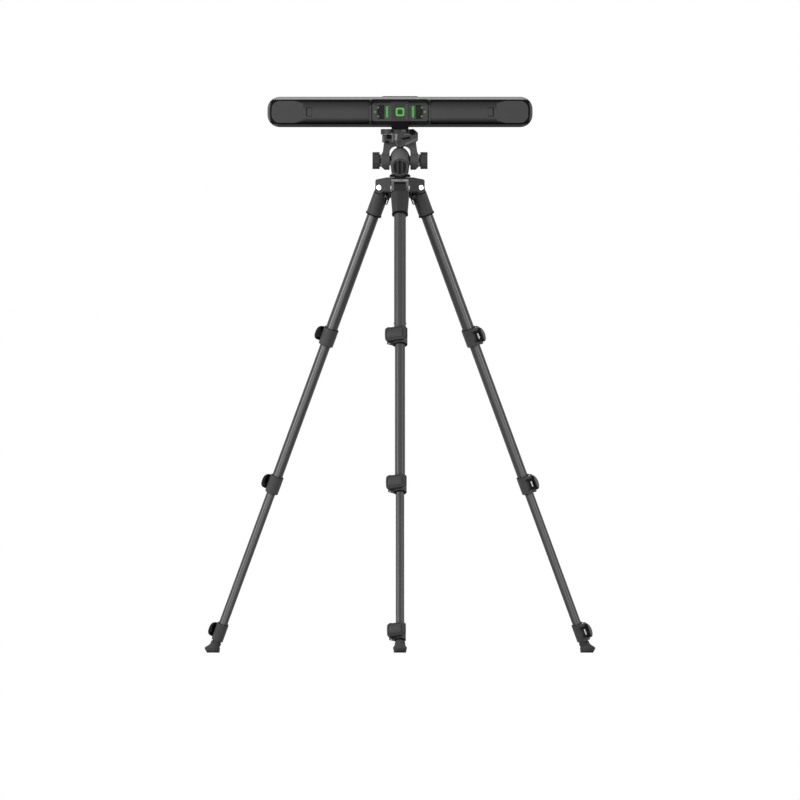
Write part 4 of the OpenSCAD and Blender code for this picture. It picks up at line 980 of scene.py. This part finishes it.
def dress_lights():
    """The ring, then the bars and dots."""
    node = "status_lights"
    ring, *others = shells(node_mesh(node))
    add_piece("ring_light", ring, LOOKS["lights"], body_of[node], (node,), 0.4)
    for index, mesh in enumerate(others):
        add_piece(f"panel_light_{index + 1}", mesh, SIDE_LIGHT, body_of[node], (node,), 0.4)


def dish_corner(x_turn, z_turn, out, sink):
    """A point on one of the dish's four corner lines."""
    return Vector((x_turn * out, panel_low.y + sink, bar_z + z_turn * out))


def dress_panel():
    """Panel with painted shade, its key and lights, ridges along the dish's corners and a lip over the centre
    block.
    """
    panel = dress("control_panel", width=0.4)
    repaint(panel, BLACK_AND_SHADE, in_vent)
    repaint(panel, PANEL_GAP_SHADE, on_base)
    dress("power_button", KEY, width=0.5)
    dress_lights()
    bm = bmesh.new()
    for x_turn in (1, -1):
        for z_turn in (1, -1):
            start = dish_corner(x_turn, z_turn, *RIDGE_START)
            end = dish_corner(x_turn, z_turn, *RIDGE_END)
            along = (end - start).to_track_quat("Z", "Y").to_matrix().to_4x4()
            size = Matrix.Diagonal((RIDGE_T, RIDGE_T, (end - start).length, 1.0))
            place = Matrix.Translation((start + end) / 2) @ along @ size
            bmesh.ops.create_cube(bm, size=1.0, matrix=place)
    add_piece("dish_ridges", finished(bm, "dish_ridges"), RIDGE_HIGHLIGHT, "tracker", (), 0.2)
    rings = [[Vector((x * MM, panel_low.y + y * MM, bar_z + z * MM)) for y, z in LIP_SECTION]
             for x in LIP_STOPS]
    add_piece("block_lip", loft("block_lip", rings), LOOKS["panel"], "tracker", (), 0.3)


# Faces that the screw heads stand on
CAMERA_FACE = bar_low.y + 83.25 * MM
PANEL_FACE = WING_Y + 0.35 * MM


def dress_screws():
    """Socket screws in the camera side and small ones in the panel."""
    node = "housing_screws"
    centres = [centroid(mesh) for mesh in shells(node_mesh(node))]
    front = [Vector((c.x, CAMERA_FACE, c.z)) for c in centres if c.y > stand_y]
    panel = [Vector((c.x, PANEL_FACE, c.z)) for c in centres if c.y < stand_y]
    for name, points, radius, height, turn, width in (
            ("housing_screw_heads", front, 3.0, 1.5, -math.pi / 2, 0.15),
            ("panel_screw_heads", panel, 1.35, 0.9, math.pi / 2, 0)):
        heads = grow(name, SOCKET_SCREWS, points, Head_Radius=radius * MM, Head_Height=height * MM,
                     Turn=(turn, 0, 0), Material=SCREW_GREY)
        add_piece(name, heads, SCREW_GREY, "tracker", (node,), width)


# Infrared lamps round each camera: half an emitter ring's width, then the lamps' circle, size and sink
RING_HALF = 25.2 * MM
LAMP_COUNT = 16
LAMP_CIRCLE = 22.7 * MM
LAMP_RADIUS = 1.7 * MM
LAMP_SINK = 0.9 * MM


def dress_cameras():
    """Windows, rings and the infrared lamps round them."""
    dress("camera_windows", width=0.4)
    dress("emitter_rings", width=0.3)
    ring_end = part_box("emitter_rings")[1]
    for index, sign in enumerate((-1, 1)):
        place = (sign * (ring_end.x - RING_HALF), ring_end.y - LAMP_SINK, bar_z)
        mesh = grow("lamps", STUD_RING, (), Count=LAMP_COUNT, Ring_Radius=LAMP_CIRCLE,
                    Stud_Radius=LAMP_RADIUS, Turn=(math.pi / 2, 0, 0), Place=place, Material=LAMP_RESIN)
        add_piece(f"infrared_lamps_{index + 1}", mesh, LAMP_RESIN, "tracker", (), 0)


# Painted shade in the housing's pockets
repaint(dress("rear_housing", width=0.6), BLACK_AND_SHADE, in_pocket)
dress("front_housing", width=0.6)
for grip_side in ("left", "right"):
    dress_grip(grip_side)
dress_panel()
dress_screws()
dress_cameras()
for cad_node in ("port_sockets", "camera_modules", "baseline_beam", "battery_packs", "main_board",
                 "top_cover", "mount_foot"):
    dress(cad_node, width=0.4)

# Head

cheek_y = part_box("clamp_body")[0].y
roll_z = (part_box("roll_knob")[0].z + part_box("roll_knob")[1].z) / 2
plate_low, plate_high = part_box("quick_release_plate")
lever_low, lever_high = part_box("clamp_lever")


# Blocks on a front face: left, right, low and high edge, how far each stands proud and reaches in, and its
# lean in degrees. Millimetres, with heights over the quick-release plate's underside
# The ribs, post and plate pads are pale as painted highlights; the dark inserts stand partly for dark parts and
# partly for painted shade
CLAMP_RIBS = ((9.0, 39.4, -22.04, -16.64, 0.8, 3.0, -24.0), (-38.6, -33.4, -21.44, -6.64, 0.7, 3.0, 0.0),
              (-17.4, -13.6, -19.64, -3.64, 0.8, 2.0, 6.0))
CLAMP_POST = ((-10.4, -5.6, -17.24, -1.84, 1.1, 2.0, 8.0),)
CLAMP_INSERTS = ((-29.0, -18.6, -13.64, -5.04, 0.8, 2.0, 0.0),
                 (-31.6, -24.0, -22.84, -17.64, 0.6, 2.0, 0.0),
                 (-3.0, 22.0, -15.24, -10.64, 0.7, 2.0, -12.0))
PLATE_PADS = ((3.4, 12.2, 0.56, 7.56, 0.7, 2.0, 0.0), (-11.8, -3.8, 2.16, 4.36, 0.5, 2.0, 0.0))

# Dark pin on the plate's front, and dark blocks as painted shade under the clamp's lever and behind the plate
PIN_X = 26.6 * MM
PIN_UP = 1.36 * MM
PIN_PROUD = 1.4 * MM
PIN_RADIUS = 6.6 * MM
PIN_LENGTH = 4.0 * MM
UNDER_LEVER_SHADE_START = 3.2 * MM
UNDER_LEVER_SHADE_DEPTH = (6.0 * MM, 16.0 * MM)
UNDER_LEVER_SHADE_DROP = (1.0 * MM, 0.25 * MM)
PLATE_SHADE_PAST = 0.8 * MM
PLATE_SHADE_BEHIND = (0.3 * MM, 1.3 * MM)
PLATE_SHADE_DROP = (0.5 * MM, 0.3 * MM)

# Collar round the roll pin, as radius and height
COLLAR = ((5.6 * MM, -0.4 * MM), (9.0 * MM, -0.4 * MM), (9.0 * MM, 0.8 * MM), (7.8 * MM, 1.4 * MM),
          (6.2 * MM, 1.4 * MM), (5.6 * MM, 0.8 * MM))


def add_front_blocks(bm, front, blocks):
    for left, right, low, high, proud, inside, lean in blocks:
        add_block(bm, (left * MM, front - proud * MM, plate_low.z + low * MM),
                  (right * MM, front + inside * MM, plate_low.z + high * MM), math.radians(lean))


def dress_clamp():
    """Casting and roll pin, then pale ribs and post as painted highlights, dark inserts and the collar on the
    casting's front.
    """
    casting, pin = shells(node_mesh("clamp_body"))
    node = ("clamp_body",)
    add_piece("clamp_casting", casting, CLAMP_CAST, "tracker", node, 1.2, 3)
    add_piece("roll_pin", pin, LOOKS["knob"], "tracker", node, 0.8)
    pale, bare, dark = bmesh.new(), bmesh.new(), bmesh.new()
    add_front_blocks(pale, cheek_y, CLAMP_RIBS)
    add_front_blocks(bare, cheek_y, CLAMP_POST)
    add_front_blocks(dark, cheek_y, CLAMP_INSERTS)
    add_pin(dark, (PIN_X, plate_low.y - PIN_PROUD, plate_low.z + PIN_UP), PIN_RADIUS, PIN_LENGTH)
    add_block(dark, (lever_low.x + UNDER_LEVER_SHADE_START, lever_low.y + UNDER_LEVER_SHADE_DEPTH[0], lever_low.z - UNDER_LEVER_SHADE_DROP[0]),
              (lever_high.x, lever_low.y + UNDER_LEVER_SHADE_DEPTH[1], lever_low.z - UNDER_LEVER_SHADE_DROP[1]))
    add_block(dark, (plate_low.x - PLATE_SHADE_PAST, plate_high.y + PLATE_SHADE_BEHIND[0], plate_low.z - PLATE_SHADE_DROP[0]),
              (plate_high.x + PLATE_SHADE_PAST, plate_high.y + PLATE_SHADE_BEHIND[1], plate_high.z - PLATE_SHADE_DROP[1]))
    add_piece("clamp_ribs", finished(pale, "clamp_ribs"), PALE_HIGHLIGHT, "tracker", (), 1.4, 3)
    add_piece("clamp_post", finished(bare, "clamp_post"), BRIGHT_HIGHLIGHT, "tracker", (), 1.2, 3)
    add_piece("clamp_inserts", finished(dark, "clamp_inserts"), BLACK_AND_SHADE, "tracker", (), 0.8, 2)
    at_roll = Matrix.Translation((0, cheek_y, roll_z)) @ Matrix.Rotation(math.pi / 2, 4, "X")
    collar = turned("roll_collar", COLLAR, at_roll)
    add_piece("roll_collar", collar, LOOKS["head"], "tracker", (), 0.2)


def dress_plate():
    """Quick-release plate with two pale pads on its front edge as painted highlights."""
    dress("quick_release_plate", LOOKS["casting"], width=1.0, segments=3)
    pads = bmesh.new()
    add_front_blocks(pads, plate_low.y, PLATE_PADS)
    add_piece("plate_pads", finished(pads, "plate_pads"), PALE_HIGHLIGHT, "tracker", (), 0.9, 3)


# Pan knob: its dark outside, and the bright edge of its face as a painted highlight
KNOB_DARK = 16.6 * MM
KNOB_EDGE = (15.2 * MM, 16.5 * MM)
KNOB_EDGE_HALF_T = 0.5 * MM


def dress_pan():
    """Body, base and the knob with a bright edge as a painted highlight."""
    dress("pan_body", PAN_CAST, width=0.8, segments=3)
    dress("pan_base", BLACK_AND_SHADE, width=0.6)
    low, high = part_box("pan_knob")
    middle_z = (low.z + high.z) / 2
    repaint(dress("pan_knob", DARK_CAST, width=0.7, segments=3), BLACK_AND_SHADE,
            lambda centre, normal: math.hypot(centre.x, centre.z - middle_z) > KNOB_DARK)
    place = Matrix.Translation((0, low.y, middle_z)) @ Matrix.Rotation(math.pi / 2, 4, "X")
    edge = turned("pan_knob_edge", flat_ring(*KNOB_EDGE, -KNOB_EDGE_HALF_T, KNOB_EDGE_HALF_T), place)
    add_piece("pan_knob_edge", edge, EDGE_HIGHLIGHT, "pan_knob", (), 0.4)


dress_clamp()
dress_plate()
dress_pan()
dress("clamp_lever", width=1.4, segments=3)
dress("tilt_yoke", width=1.8, segments=4)
for cad_node in ("roll_knob", "tilt_knob_left", "tilt_knob_right"):
    dress(cad_node, width=1.0, segments=3)

# Spider and column


# The spider's clevises: where their bare ends and their arches, pale as a painted highlight, start, out from the
# stand's axis and upwards
CLEVIS_END = 48.5 * MM
ARCH_OUT = 45 * MM
ARCH_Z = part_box("spider")[1].z - 9.0 * MM

# Hinge bolts: their heads' radius, and the radius and thickness of the socket heads on them
BOLT_HEAD = 5.4 * MM
BOLT_SOCKET = 0.34 * BOLT_HEAD
BOLT_SOCKET_T = 1.2 * MM

# Hub lugs: how far they stand to the sides, in front of the axis, and below and above the hub's underside
LUG_X = (17.7 * MM, 23.4 * MM)
LUG_FRONT = (12.0 * MM, 5.0 * MM)
LUG_Z = (6.0 * MM, 3.0 * MM)

LEGS = (1, 2, 3)
FRONT_LEG = 1


def from_axis(centre):
    """The level way from the stand's axis to a point."""
    return Vector((centre.x, centre.y - stand_y, 0))


def on_clevis_end(centre, normal):
    """The outward end faces of the spider's three clevises, which are left bare."""
    out = from_axis(centre)
    return out.length > CLEVIS_END and normal.dot(out.normalized()) > 0.75


def on_arch(centre, normal):
    """The upper edge of a clevis's end, paler as a painted highlight where it would catch more light."""
    out = from_axis(centre)
    return out.length > ARCH_OUT and centre.z > ARCH_Z and normal.dot(out.normalized()) > 0.3


def nearest_hinge(mesh):
    """The place and axis of the leg hinge that a bolt belongs to."""
    middle = centroid(mesh)
    folds = [joints[f"leg_{n}_fold"] for n in LEGS]
    fold = min(folds, key=lambda joint: (Vector(joint["pos_m"]) - middle).length)
    return Vector(fold["pos_m"]), Vector(fold["axis"])


def dress_bolts():
    """Hinge bolts with round heads and a socket at both ends."""
    body = body_of["leg_hinge_bolts"]
    ends = []
    for index, mesh in enumerate(shells(node_mesh("leg_hinge_bolts"))):
        middle, axis = nearest_hinge(mesh)
        reach = []
        for vertex in mesh.vertices:
            along = axis * (vertex.co - middle).dot(axis)
            out = vertex.co - middle - along
            reach.append(along.dot(axis))
            if out.length > BOLT_HEAD:
                vertex.co = middle + along + out.normalized() * BOLT_HEAD
        add_piece(f"hinge_bolt_{index + 1}", mesh, LOOKS["steel"], body, ("leg_hinge_bolts",), 0.3)
        ends += [(middle, axis, min(reach)), (middle, axis, max(reach))]
    for index, (middle, axis, along) in enumerate(ends):
        outward = axis if along > 0 else -axis
        turn = outward.to_track_quat("Z", "Y").to_euler()
        mesh = grow("bolt_socket", SOCKET_SCREWS, [middle + axis * along], Head_Radius=BOLT_SOCKET,
                    Head_Height=BOLT_SOCKET_T, Turn=tuple(turn), Material=SCREW_GREY)
        add_piece(f"hinge_bolt_socket_{index + 1}", mesh, SCREW_GREY, body, (), 0.15)


def dress_lugs():
    """Two lugs under the hub, between the front leg and the others, dark as painted shade there."""
    bm = bmesh.new()
    hub_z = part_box("spider")[0].z
    for turn in (1, -1):
        add_block(bm, (turn * LUG_X[0], stand_y - LUG_FRONT[0], hub_z - LUG_Z[0]),
                  (turn * LUG_X[1], stand_y - LUG_FRONT[1], hub_z + LUG_Z[1]))
    add_piece("hub_lugs", finished(bm, "hub_lugs"), LOOKS["stop"], "spider", (), 1.2, 3)


spider = dress("spider", SPIDER_CAST, width=1.0, segments=3)
repaint(spider, PAN_CAST, on_clevis_end)
repaint(spider, BRIGHT_HIGHLIGHT, on_arch)
dress_bolts()
dress_lugs()
dress("centre_column", width=0.4)
dress("column_knob", width=1.0, segments=3)

# Legs

# Millimetres, along the leg from its hinge
LEG_L = 1086.4
CLAMP_L = 37.4
CLAMP_WALL = 3.2

# Each section's tube radius, the next tube's radius, and how far down the leg its clamp ends
SECTIONS = {"upper": (13.0, 11.25, 367.0), "middle": (11.25, 9.5, 712.0), "lower": (9.5, 7.75, 1057.0)}

# Seals on a clamp's ends: their gap to the tube, how far inside the clamp's wall they stay, and their ends
TOP_SEAL = (0.1, 0.7, CLAMP_L - 0.5, CLAMP_L + 0.8)
LOW_SEAL = (0.3, 0.8, -0.9, 0.5)

# A clamp lever's cap: its turn round the leg, its gap to the clamp, its size and corners, and its crown
LEVER_TURN = math.radians(-19.0)
LEVER_GAP = 0.8
CAP_PAST = 6.0
CAP_SHORT = 3.0
CAP_SHIFT = 4.0
CAP_CORNERS = (5.0, 9.0)
CAP_LEAST_CORNER = 1.0
LEVER_CROWN = 4.2

# Where the cap starts to wrap round the clamp as a share of its radius, how fast, and how much it stretches
WRAP_START = 0.45
LEVER_WRAP = 0.55
WRAP_STRETCH = 0.35

# The cap's rings from plate to middle, each drawn in and raised, and the rise from which it is crowned
CAP_RINGS = ((0.3, 2.6), (0.0, 3.0), (0.0, 3.6), (0.5, 4.6), (1.5, 5.2), (3.6, 5.6), (4.0, 5.6), (4.2, 4.5),
             (5.4, 4.5), (5.6, 5.6), (8.0, 5.8), (11.0, 5.9), (14.0, 5.9))
CROWNED_FROM = 3.1

# The boot's level rings: height, back, front, half width and squareness, then its neck: place and radius
BOOT_RINGS = ((0.0, -13.6, 10.2, 12.8, 3.0), (0.4, -13.9, 10.6, 13.1, 3.0), (2.9, -14.2, 12.1, 13.6, 3.0),
              (3.2, -13.7, 11.7, 13.1, 3.0), (3.8, -13.8, 12.1, 13.3, 3.0), (4.1, -14.3, 12.8, 13.9, 3.0),
              (9.0, -15.0, 15.7, 14.9, 2.8), (10.4, -15.0, 16.0, 15.0, 2.7), (11.6, -14.9, 15.6, 14.8, 2.6),
              (12.6, -14.9, 14.6, 14.3, 2.5))
BOOT_NECK = ((22.4, 11.4), (23.4, 11.4), (23.9, 10.9), (24.1, 10.0), (26.2, 9.9))
BOOT_STEPS = 48
BLEND_STEPS = 8
BLEND_PULL = 3.6 * MM
BLEND_SIDE = 0.35
SOLE_TOP = 3.9 * MM

# A shoulder's tongue, darkened as painted shade, its dark lower rim, and the ribs on its angle stop, pale as a
# painted highlight
TONGUE_Z = -13.0 * MM
SHOULDER_RIM_Z = -61.2 * MM
RIB_COUNT = 3
RIB_START = Vector((-15.2, 0, -13.4)) * MM
RIB_STEP = Vector((-2.2 * MM, 0, -0.6 * MM))
RIB_SIZE = (0.9 * MM, 18.9 * MM, 5.0 * MM)


def leg_frame(n):
    """From a leg's own frame to the object's: hinge at the origin, leg along -Z, +X away from the stand."""
    side = Vector(joints[f"leg_{n}_fold"]["axis"])
    up = -Vector(joints[f"leg_{n}_middle_slide"]["axis"])
    turn = Matrix((side.cross(up), side, up)).transposed().to_4x4()
    return Matrix.Translation(Vector(joints[f"leg_{n}_fold"]["pos_m"])) @ turn


def keep_leg_place(obj, inverse):
    """Stores each point's place in the leg's frame, which the tube's finish follows."""
    place = obj.data.attributes.new("leg_place", "FLOAT_VECTOR", "POINT")
    for vertex in obj.data.vertices:
        place.data[vertex.index].vector = inverse @ vertex.co


def rounded_outline(half_l, half_h, left_r, right_r):
    """Points round a rectangle whose corners are rounder at one end, with points along both ends too."""
    points = []
    corners = ((1, 1, right_r), (-1, 1, left_r), (-1, -1, left_r), (1, -1, right_r))
    for i, (x, z, r) in enumerate(corners):
        for k in range(9):
            a = (i + k / 8) * math.pi / 2
            points.append((x * (half_l - r) + r * math.cos(a), z * (half_h - r) + r * math.sin(a)))
        if i in (1, 3):
            points += [(x * half_l, z * (half_h - r) * (1 - k / 4)) for k in range(1, 8)]
    return points


def lever_cap(name, r, place):
    """Crowned face of a clamp's lever: rings drawn in towards its middle, over the lever's plate."""
    half_l, half_h = r + CAP_PAST, CLAMP_L / 2 - CAP_SHORT
    rings = []
    for inset, rise in CAP_RINGS:
        left_r, right_r = (max(corner - inset, CAP_LEAST_CORNER) for corner in CAP_CORNERS)
        ring = []
        for y, z in rounded_outline(half_l - inset, half_h - inset, left_r, right_r):
            crown = LEVER_CROWN * (1 - (z / half_h) ** 2) if rise > CROWNED_FROM else 0.0
            y = y - CAP_SHIFT
            past = max(0.0, y - WRAP_START * r)
            x = r + LEVER_GAP + rise + crown - LEVER_WRAP * past * past / r
            ring.append(place @ (Vector((x, y + WRAP_STRETCH * past, z + CLAMP_L / 2)) * MM))
        rings.append(ring)
    return loft(name, rings)


def add_tube(name, mesh, node, to_leg):
    """A leg tube in the finish that follows the leg."""
    obj = add_piece(name, mesh, LOOKS["tube"], body_of[node], (node,), 0.25)
    keep_leg_place(obj, to_leg.inverted())


def add_seal(name, tube_r, outer, seal, at_end, body):
    """A dark ring on one end of a leg clamp."""
    gap, wall, low, high = seal
    ring = flat_ring((tube_r + gap) * MM, (outer - wall) * MM, low * MM, high * MM)
    add_piece(name, turned(name, ring, at_end), BLACK_AND_SHADE, body, (), 0.3)


def dress_section(n, part, to_leg):
    """Tube with its clamp, seals, pin and lever."""
    node = f"leg_{n}_{part}_section"
    name = f"leg_{n}_{part}"
    body = body_of[node]
    radius, next_radius, end = SECTIONS[part]
    outer = radius + CLAMP_WALL
    at_end = to_leg @ Matrix.Translation((0, 0, -end * MM))
    tube, clamp, pin = shells(node_mesh(node))
    add_tube(name + "_tube", tube, node, to_leg)
    add_piece(name + "_clamp", clamp, CLAMP, body, (node,), 1.0, 3)
    add_piece(name + "_pin", pin, LOOKS["steel"], body, (node,), 0.4)
    add_seal(name + "_top_seal", radius, outer, TOP_SEAL, at_end, body)
    add_seal(name + "_low_seal", next_radius, outer, LOW_SEAL, at_end, body)
    lever = name + "_lever"
    # The lever's plate is near black as painted shade
    dress(lever, LEVER_SHADE, width=0.6)
    at_lever = at_end @ Matrix.Rotation(LEVER_TURN, 4, "Z")
    across = (at_lever.to_3x3() @ Vector((0, 1, 0))).normalized()
    mesh = lever_cap(lever + "_cap", outer, at_lever)
    cap = add_piece(lever + "_cap", mesh, LOOKS["lever"], body_of[lever], (), 0)
    # Painted shade on the cap's tip end and a painted highlight on its knuckle end
    repaint(cap, LEVER_SHADE, lambda centre, normal: normal.dot(across) > 0.75)
    repaint(cap, PALE_HIGHLIGHT, lambda centre, normal: normal.dot(across) < -0.2)


def squared(turn, power):
    """Cosine and sine of a turn, pushed outwards into the corners of a rounded square."""
    pair = (math.cos(turn), math.sin(turn))
    return (math.copysign(abs(v) ** (2 / power), v) for v in pair)


def boot_rings(to_leg):
    """Level rings of the shoe, then rings square to the leg up its neck."""
    ground = to_leg @ Vector((0, 0, -LEG_L * MM))
    ground.z = 0.0
    out = to_leg.to_3x3() @ Vector((1, 0, 0))
    out = Vector((out.x, out.y, 0)).normalized()
    side = to_leg.to_3x3() @ Vector((0, 1, 0))
    turns = [i * 2 * math.pi / BOOT_STEPS for i in range(BOOT_STEPS)]
    rings = []
    for height, back, front, half, power in BOOT_RINGS:
        middle, reach = (front + back) / 2, (front - back) / 2
        ring = []
        for turn in turns:
            c, s = squared(turn, power)
            level = (out * (middle + reach * c) + side * (half * s)) * MM
            ring.append(ground + level + Vector((0, 0, height * MM)))
        rings.append(ring)
    neck = [[to_leg @ (Vector((r * math.cos(turn), r * math.sin(turn), along - LEG_L)) * MM)
             for turn in turns] for along, r in BOOT_NECK]
    top = rings[-1]
    for i in range(1, BLEND_STEPS):
        part = i / BLEND_STEPS
        pull = BLEND_PULL * math.sin(math.pi * part)
        ring = []
        for low, high, turn in zip(top, neck[0], turns):
            inward = out * max(0.0, math.cos(turn)) + side * (math.sin(turn) * BLEND_SIDE)
            ring.append(low.lerp(high, part) - inward * pull)
        rings.append(ring)
    return rings + neck


def dress_foot(n, to_leg):
    """Inner tube and rubber boot."""
    node = f"leg_{n}_foot_section"
    add_tube(f"leg_{n}_foot_tube", shells(node_mesh(node))[0], node, to_leg)
    mesh = loft("boot", boot_rings(to_leg))
    boot = add_piece(f"leg_{n}_boot", mesh, LOOKS["foot"], body_of[node], (node,), 0)
    repaint(boot, SOLE, lambda centre, normal: centre.z < SOLE_TOP)


def dress_shoulder(n, to_leg):
    """Shoulder, darker on the front leg as painted shade, with its tongue darkened as painted shade, a dark rim,
    and the ribbed stop.
    """
    inverse = to_leg.inverted()
    shoulder = dress(f"leg_{n}_shoulder", DARK_CAST if n == FRONT_LEG else None, width=1.0, segments=3)
    repaint(shoulder, TONGUE_SHADE, lambda centre, normal: (inverse @ centre).z > TONGUE_Z)
    repaint(shoulder, BLACK_AND_SHADE, lambda centre, normal: (inverse @ centre).z < SHOULDER_RIM_Z)
    dress(f"leg_{n}_angle_stop", width=0.5)
    ribs = grow("ribs", RIB_ROW, (), Count=RIB_COUNT, Start=tuple(to_leg @ RIB_START),
                Step=tuple(to_leg.to_3x3() @ RIB_STEP), Size=RIB_SIZE, Turn=tuple(to_leg.to_euler()),
                Material=EDGE_HIGHLIGHT)
    add_piece(f"leg_{n}_stop_ribs", ribs, EDGE_HIGHLIGHT, f"leg_{n}_stop", (), 0.25)


for leg in LEGS:
    leg_place = leg_frame(leg)
    dress_shoulder(leg, leg_place)
    for section in SECTIONS:
        dress_section(leg, section, leg_place)
    dress_foot(leg, leg_place)

# Stage: pale floor, even sky, soft lamps and the camera

# The sky's even light, the floor's half size and gap, its tones for light and for sight, and its roughness
SKY_LIGHT = 0.30
FLOOR_HALF = 6.0
FLOOR_GAP = 0.5 * MM
FLOOR_LIT = grey(0.40)
FLOOR_SEEN = grey(0.85)
FLOOR_ROUGH = 0.7

# Distances from the stand between which the floor turns white, and the least share of white
FADE_NEAR = 0.6
FADE_FAR = 1.9
FADE_LEAST = 0.45


def build_sky():
    """White where the camera and reflections look, and a plain even light otherwise."""
    world = bpy.data.worlds.new("studio")
    bpy.context.scene.world = world
    world.use_nodes = True
    tree = world.node_tree
    tree.nodes.clear()
    light = add_node(tree, "ShaderNodeBackground", Color=grey(1.0), Strength=SKY_LIGHT)
    white = add_node(tree, "ShaderNodeBackground", Color=grey(1.0), Strength=1.0)
    sky = mix_shader(tree, seen_rays(tree), light.outputs[0], white.outputs[0])
    out = tree.nodes.new("ShaderNodeOutputWorld")
    tree.links.new(sky, out.inputs["Surface"])


def build_floor():
    """Pale floor that takes the shadows and fades into the white background."""
    bm = bmesh.new()
    bmesh.ops.create_grid(bm, x_segments=1, y_segments=1, size=FLOOR_HALF)
    mesh = bpy.data.meshes.new("floor")
    bm.to_mesh(mesh)
    bm.free()
    floor = new_object("floor", mesh)
    floor.location.z = cad_box[0].z - FLOOR_GAP
    material, tree, shader = start_material("pale_floor")
    seen = seen_rays(tree)
    tree.links.new(mix_colour(tree, seen, FLOOR_LIT, FLOOR_SEEN), shader.inputs["Base Color"])
    shader.inputs["Roughness"].default_value = FLOOR_ROUGH
    fade = ramp(tree, length_of(tree, object_place(tree)), FADE_NEAR, FADE_FAR, FADE_LEAST)
    white = add_node(tree, "ShaderNodeEmission", Color=grey(1.0), Strength=1.0)
    blend = mix_shader(tree, times(tree, seen, fade), shader.outputs[0], white.outputs[0])
    tree.links.new(blend, tree.nodes["Material Output"].inputs["Surface"])
    mesh.materials.append(material)


def add_lamp(name, place, target, size, power):
    """A rectangular lamp at a place, turned to a target."""
    lamp = bpy.data.lights.new(name, "AREA")
    lamp.shape = "RECTANGLE"
    lamp.size, lamp.size_y = size
    lamp.energy = power
    obj = bpy.data.objects.new(name, lamp)
    obj.location = place
    aim = Vector(target) - Vector(place)
    obj.rotation_euler = aim.to_track_quat("-Z", "Y").to_euler()
    obj.visible_camera = False
    bpy.context.scene.collection.objects.link(obj)


def build_camera():
    """Orthographic and level, at the photograph's scale."""
    data = bpy.data.cameras.new("camera")
    data.type = "ORTHO"
    data.ortho_scale = PHOTO_PX * MM_PER_PX * MM
    data.clip_end = 50.0
    camera = bpy.data.objects.new("camera", data)
    height = (FLOOR_PX - PHOTO_PX / 2) * MM_PER_PX * MM
    camera.location = (0.0, -CAMERA_AWAY, height)
    camera.rotation_euler = (math.radians(90.0), 0.0, 0.0)
    bpy.context.scene.collection.objects.link(camera)
    bpy.context.scene.camera = camera


build_sky()
build_floor()
add_lamp("strip_lamp", (-1.25, -3.7, 0.75), (0.0, 0.1, 0.7), (0.2, 2.4), 26.0)
add_lamp("left_lamp", (-2.9, -1.6, 1.8), (0.0, 0.0, 0.65), (1.0, 1.8), 68.0)
add_lamp("right_lamp", (2.9, -1.6, 1.8), (0.0, 0.0, 0.65), (1.0, 1.8), 33.0)
build_camera()
bpy.context.scene.view_settings.view_transform = "Standard"
